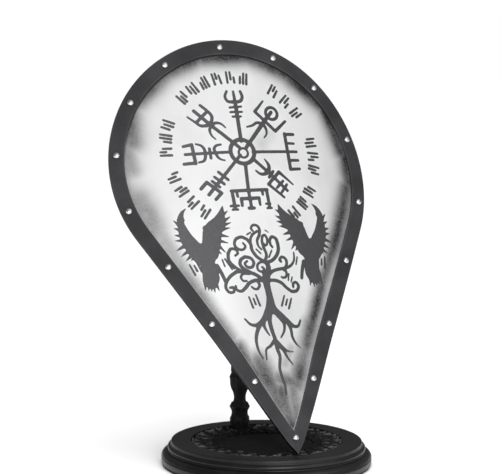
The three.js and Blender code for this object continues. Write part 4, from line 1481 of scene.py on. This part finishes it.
def post_stations(stand):
    """The post's turned profile as (radius, height) stations, the upper ones measured down from the ball."""
    bottom = POST_LOW.z
    ball = POST_HIGH.z - stand.ball
    foot = (
        (12.3, 0), (12.3, 9), (13.1, 13), (13.3, 19), (11.6, 24), (11.4, 29), (13.5, 34.5), (13.2, 37.5),
        (10.2, 43), (9.2, 47.5), (9.6, 53), (11.6, 60), (13.2, 67), (13.6, 75), (14.2, 79), (13, 82),
        (12.6, 92), (11.2, 106), (9, 130),
    )
    neck = ((7.6, -84), (8.2, -46), (11.4, -37), (12.4, -32), (11.4, -27), (7.4, -22), (6.6, -15))
    stations = [(r * MM, bottom + h * MM) for r, h in foot]
    stations += [(r * MM, ball + h * MM) for r, h in neck]
    for degrees in (-48, -36, -24, -12, 0, 12, 24, 36, 48, 60, 72, 82):
        a = math.radians(degrees)
        stations.append((stand.ball * math.cos(a), ball + stand.ball * math.sin(a)))
    return np.array(stations)


def post_relief(angle, height):
    """Carving on the post in millimetres: two rows of curled leaves at the foot, then flutes that fade."""
    turn = angle * LOBES / (2 * math.pi)
    low = leaf_scale(cell(turn + 0.5), (height - 4) / 18.0, 0.4)
    high = leaf_scale(cell(turn), (height - 19) / 19.0, 0.4)
    small = 0.8 * leaf_scale(cell(2 * turn + 0.5), (height - 30) / 12.0, 0.2)
    buds = 0.7 * leaf_scale(cell(turn + 0.5), (height - 58) / 26.0, 0.5)
    tops = 0.6 * leaf_scale(cell(turn), (height - 84) / 30.0, 0.5)
    leaves = np.maximum.reduce([low, high, small, buds, tops])
    flutes = np.clip(1 - np.abs(height - 84) / 36, 0, 1) * (0.5 - 0.5 * np.cos(LOBES * angle))
    sunk = np.clip(1 - np.abs(height - 30) / 34, 0, 1)
    return 2.3 * leaves - 1.5 * sunk - 0.7 * flutes, leaves


class KITE_OT_post(bpy.types.Operator):
    """Builds the post: a smooth turned profile whose radius is carved by angle and height"""

    bl_idname = "kite_shield.post"
    bl_label = "Post"

    def execute(self, context):
        stand = context.scene.kite_shield_stand
        columns, rows = 192, 440
        profile = smooth_line(post_stations(stand), 9)
        step = travelled(profile)
        even = np.linspace(0, step[-1], rows)
        radius = np.interp(even, step, profile[:, 0])[:, None]
        height = np.interp(even, step, profile[:, 1])[:, None]
        angle = np.linspace(0, 2 * math.pi, columns, endpoint=False)
        above_floor = (height - POST_LOW.z) / MM
        carving, leaves = post_relief(angle, above_floor)
        carved = radius + carving * MM * smoothstep(0, 6, above_floor)
        x, y = carved * np.cos(angle), stand.post_back + carved * np.sin(angle)
        rings = np.stack([x, y, np.broadcast_to(height, carved.shape)], axis=-1)
        skin = capped_tube(rings, (0, stand.post_back, POST_LOW.z), (0, stand.post_back, POST_HIGH.z))
        raised = np.concatenate([smoothstep(0.6, 1.0, leaves).ravel(), [0, 0]])
        # The leaf tops go rubbed grey, partly a painted highlight, and the rest of the post is darkened as
        # painted shade
        values = {"raised": raised, "hollow": 0.6 * (1 - raised)}
        material = bpy.data.materials.get("stand_black_lacquer")
        material = material or lacquer_material(context.scene.kite_shield_finish)
        piece = make_piece("post_carved", *skin, [material], values=values)
        finish_piece(piece, "stand_lacquer", "stand_post")
        return {"FINISHED"}


# The stage


def stage_floor():
    """A wide pale disc under the base."""
    radius, steps = 60.0, 96
    angle = np.linspace(0, 2 * math.pi, steps, endpoint=False)
    ring = np.stack([radius * np.cos(angle), radius * np.sin(angle), np.zeros(steps)], axis=1)
    mesh = bpy.data.meshes.new("floor_disc")
    mesh.from_pydata(np.concatenate([ring, [[0, 0, 0]]]).tolist(), [], fan(steps, np.arange(steps)).tolist())
    floor = bpy.data.objects.new("floor_disc", mesh)
    bpy.context.collection.objects.link(floor)
    material, _, shader = new_material("floor_paper")
    shader.inputs["Base Color"].default_value = (0.88, 0.88, 0.88, 1)
    shader.inputs["Roughness"].default_value = 0.9
    shader.inputs["Specular IOR Level"].default_value = 0.1
    mesh.materials.append(material)


def softbox(name, place, target, size, power):
    """A square area light at a place, turned to face the target."""
    lamp = bpy.data.lights.new(name, "AREA")
    lamp.shape = "RECTANGLE"
    lamp.size, lamp.size_y = size
    lamp.energy = power
    light = bpy.data.objects.new(name, lamp)
    way = Vector(target) - Vector(place)
    light.matrix_world = Matrix.Translation(place) @ way.to_track_quat("-Z", "Y").to_matrix().to_4x4()
    bpy.context.collection.objects.link(light)


class KITE_OT_stage(bpy.types.Operator):
    """Sets the camera at the photograph's angle, the pale floor and the soft light"""

    bl_idname = "kite_shield.stage"
    bl_label = "Stage"

    def execute(self, context):
        stage = context.scene.kite_shield_stage
        aim = Vector((0, 0, context.scene.kite_shield_stand.height))
        level = math.cos(stage.elevation)
        back = Vector(
            (math.sin(stage.azimuth) * level, -math.cos(stage.azimuth) * level, math.sin(stage.elevation))
        )
        ahead = -back
        right = ahead.cross(Vector((0, 0, 1))).normalized()
        up = right.cross(ahead)
        look = (
            ahead * (math.cos(stage.pitch) * math.cos(stage.turn))
            + right * (math.sin(stage.turn) * math.cos(stage.pitch))
            + up * math.sin(stage.pitch)
        )
        side = look.cross(Vector((0, 0, 1))).normalized()
        over = side.cross(look)
        rolled = side * math.cos(stage.roll) + over * math.sin(stage.roll)
        top = over * math.cos(stage.roll) - side * math.sin(stage.roll)
        camera = bpy.data.cameras.new("camera_photo")
        camera.sensor_fit = "HORIZONTAL"
        camera.sensor_width = 36.0
        camera.lens = stage.lens
        camera.clip_end = 200.0
        view = bpy.data.objects.new("camera_photo", camera)
        turn = Matrix((rolled, top, -look)).transposed().to_4x4()
        view.matrix_world = Matrix.Translation(aim + back * stage.distance) @ turn
        bpy.context.collection.objects.link(view)
        context.scene.camera = view
        stage_floor()
        middle = (0.0, 0.05, 0.3)
        softbox("key_softbox", (1.05, -1.75, 2.0), middle, (3.0, 2.4), 21.0)
        softbox("front_softbox", (-0.35, -2.3, 0.95), middle, (0.9, 0.6), 26.0)
        sun = bpy.data.lights.new("overhead_light", "SUN")
        sun.energy = 3.3
        sun.angle = math.radians(70)
        overhead = bpy.data.objects.new("overhead_light", sun)
        overhead.visible_glossy = False
        bpy.context.collection.objects.link(overhead)
        world = bpy.data.worlds.new("studio_white")
        context.scene.world = world
        world.use_nodes = True
        tree = world.node_tree
        background = tree.nodes["Background"]
        background.inputs["Color"].default_value = (1, 1, 1, 1)
        seen = node(tree, "ShaderNodeLightPath").outputs["Is Camera Ray"]
        link(tree, ramp(tree, seen, 0.0, 1.0, stage.world, stage.backdrop), background.inputs["Strength"])
        context.scene.view_settings.view_transform = "Standard"
        return {"FINISHED"}


class KITE_PT_panel(bpy.types.Panel):
    """Lists the steps that build the shield"""

    bl_idname = "KITE_PT_panel"
    bl_label = "Kite Shield"
    bl_space_type = "VIEW_3D"
    bl_region_type = "UI"
    bl_category = "Kite Shield"

    def draw(self, context):
        for operator in OPERATORS:
            self.layout.operator(operator.bl_idname)


OPERATORS = (
    KITE_OT_stage,
    KITE_OT_plate,
    KITE_OT_band,
    KITE_OT_rivets,
    KITE_OT_straps,
    KITE_OT_base,
    KITE_OT_post,
)
SETTINGS = {
    "kite_shield_sizes": KiteShieldSizes,
    "kite_shield_paint": KiteShieldPaint,
    "kite_shield_finish": KiteShieldFinish,
    "kite_shield_stand": KiteShieldStand,
    "kite_shield_stage": KiteShieldStage,
}


def register():
    for group in (*SETTINGS.values(), *OPERATORS, KITE_PT_panel):
        bpy.utils.register_class(group)
    for name, group in SETTINGS.items():
        setattr(bpy.types.Scene, name, PointerProperty(type=group))


def unregister():
    for name in SETTINGS:
        delattr(bpy.types.Scene, name)
    for group in reversed((*SETTINGS.values(), *OPERATORS, KITE_PT_panel)):
        bpy.utils.unregister_class(group)


def main():
    register()
    for operator in OPERATORS:
        group, action = operator.bl_idname.split(".")
        getattr(getattr(bpy.ops, group), action)()


if __name__ == "__main__":
    main()
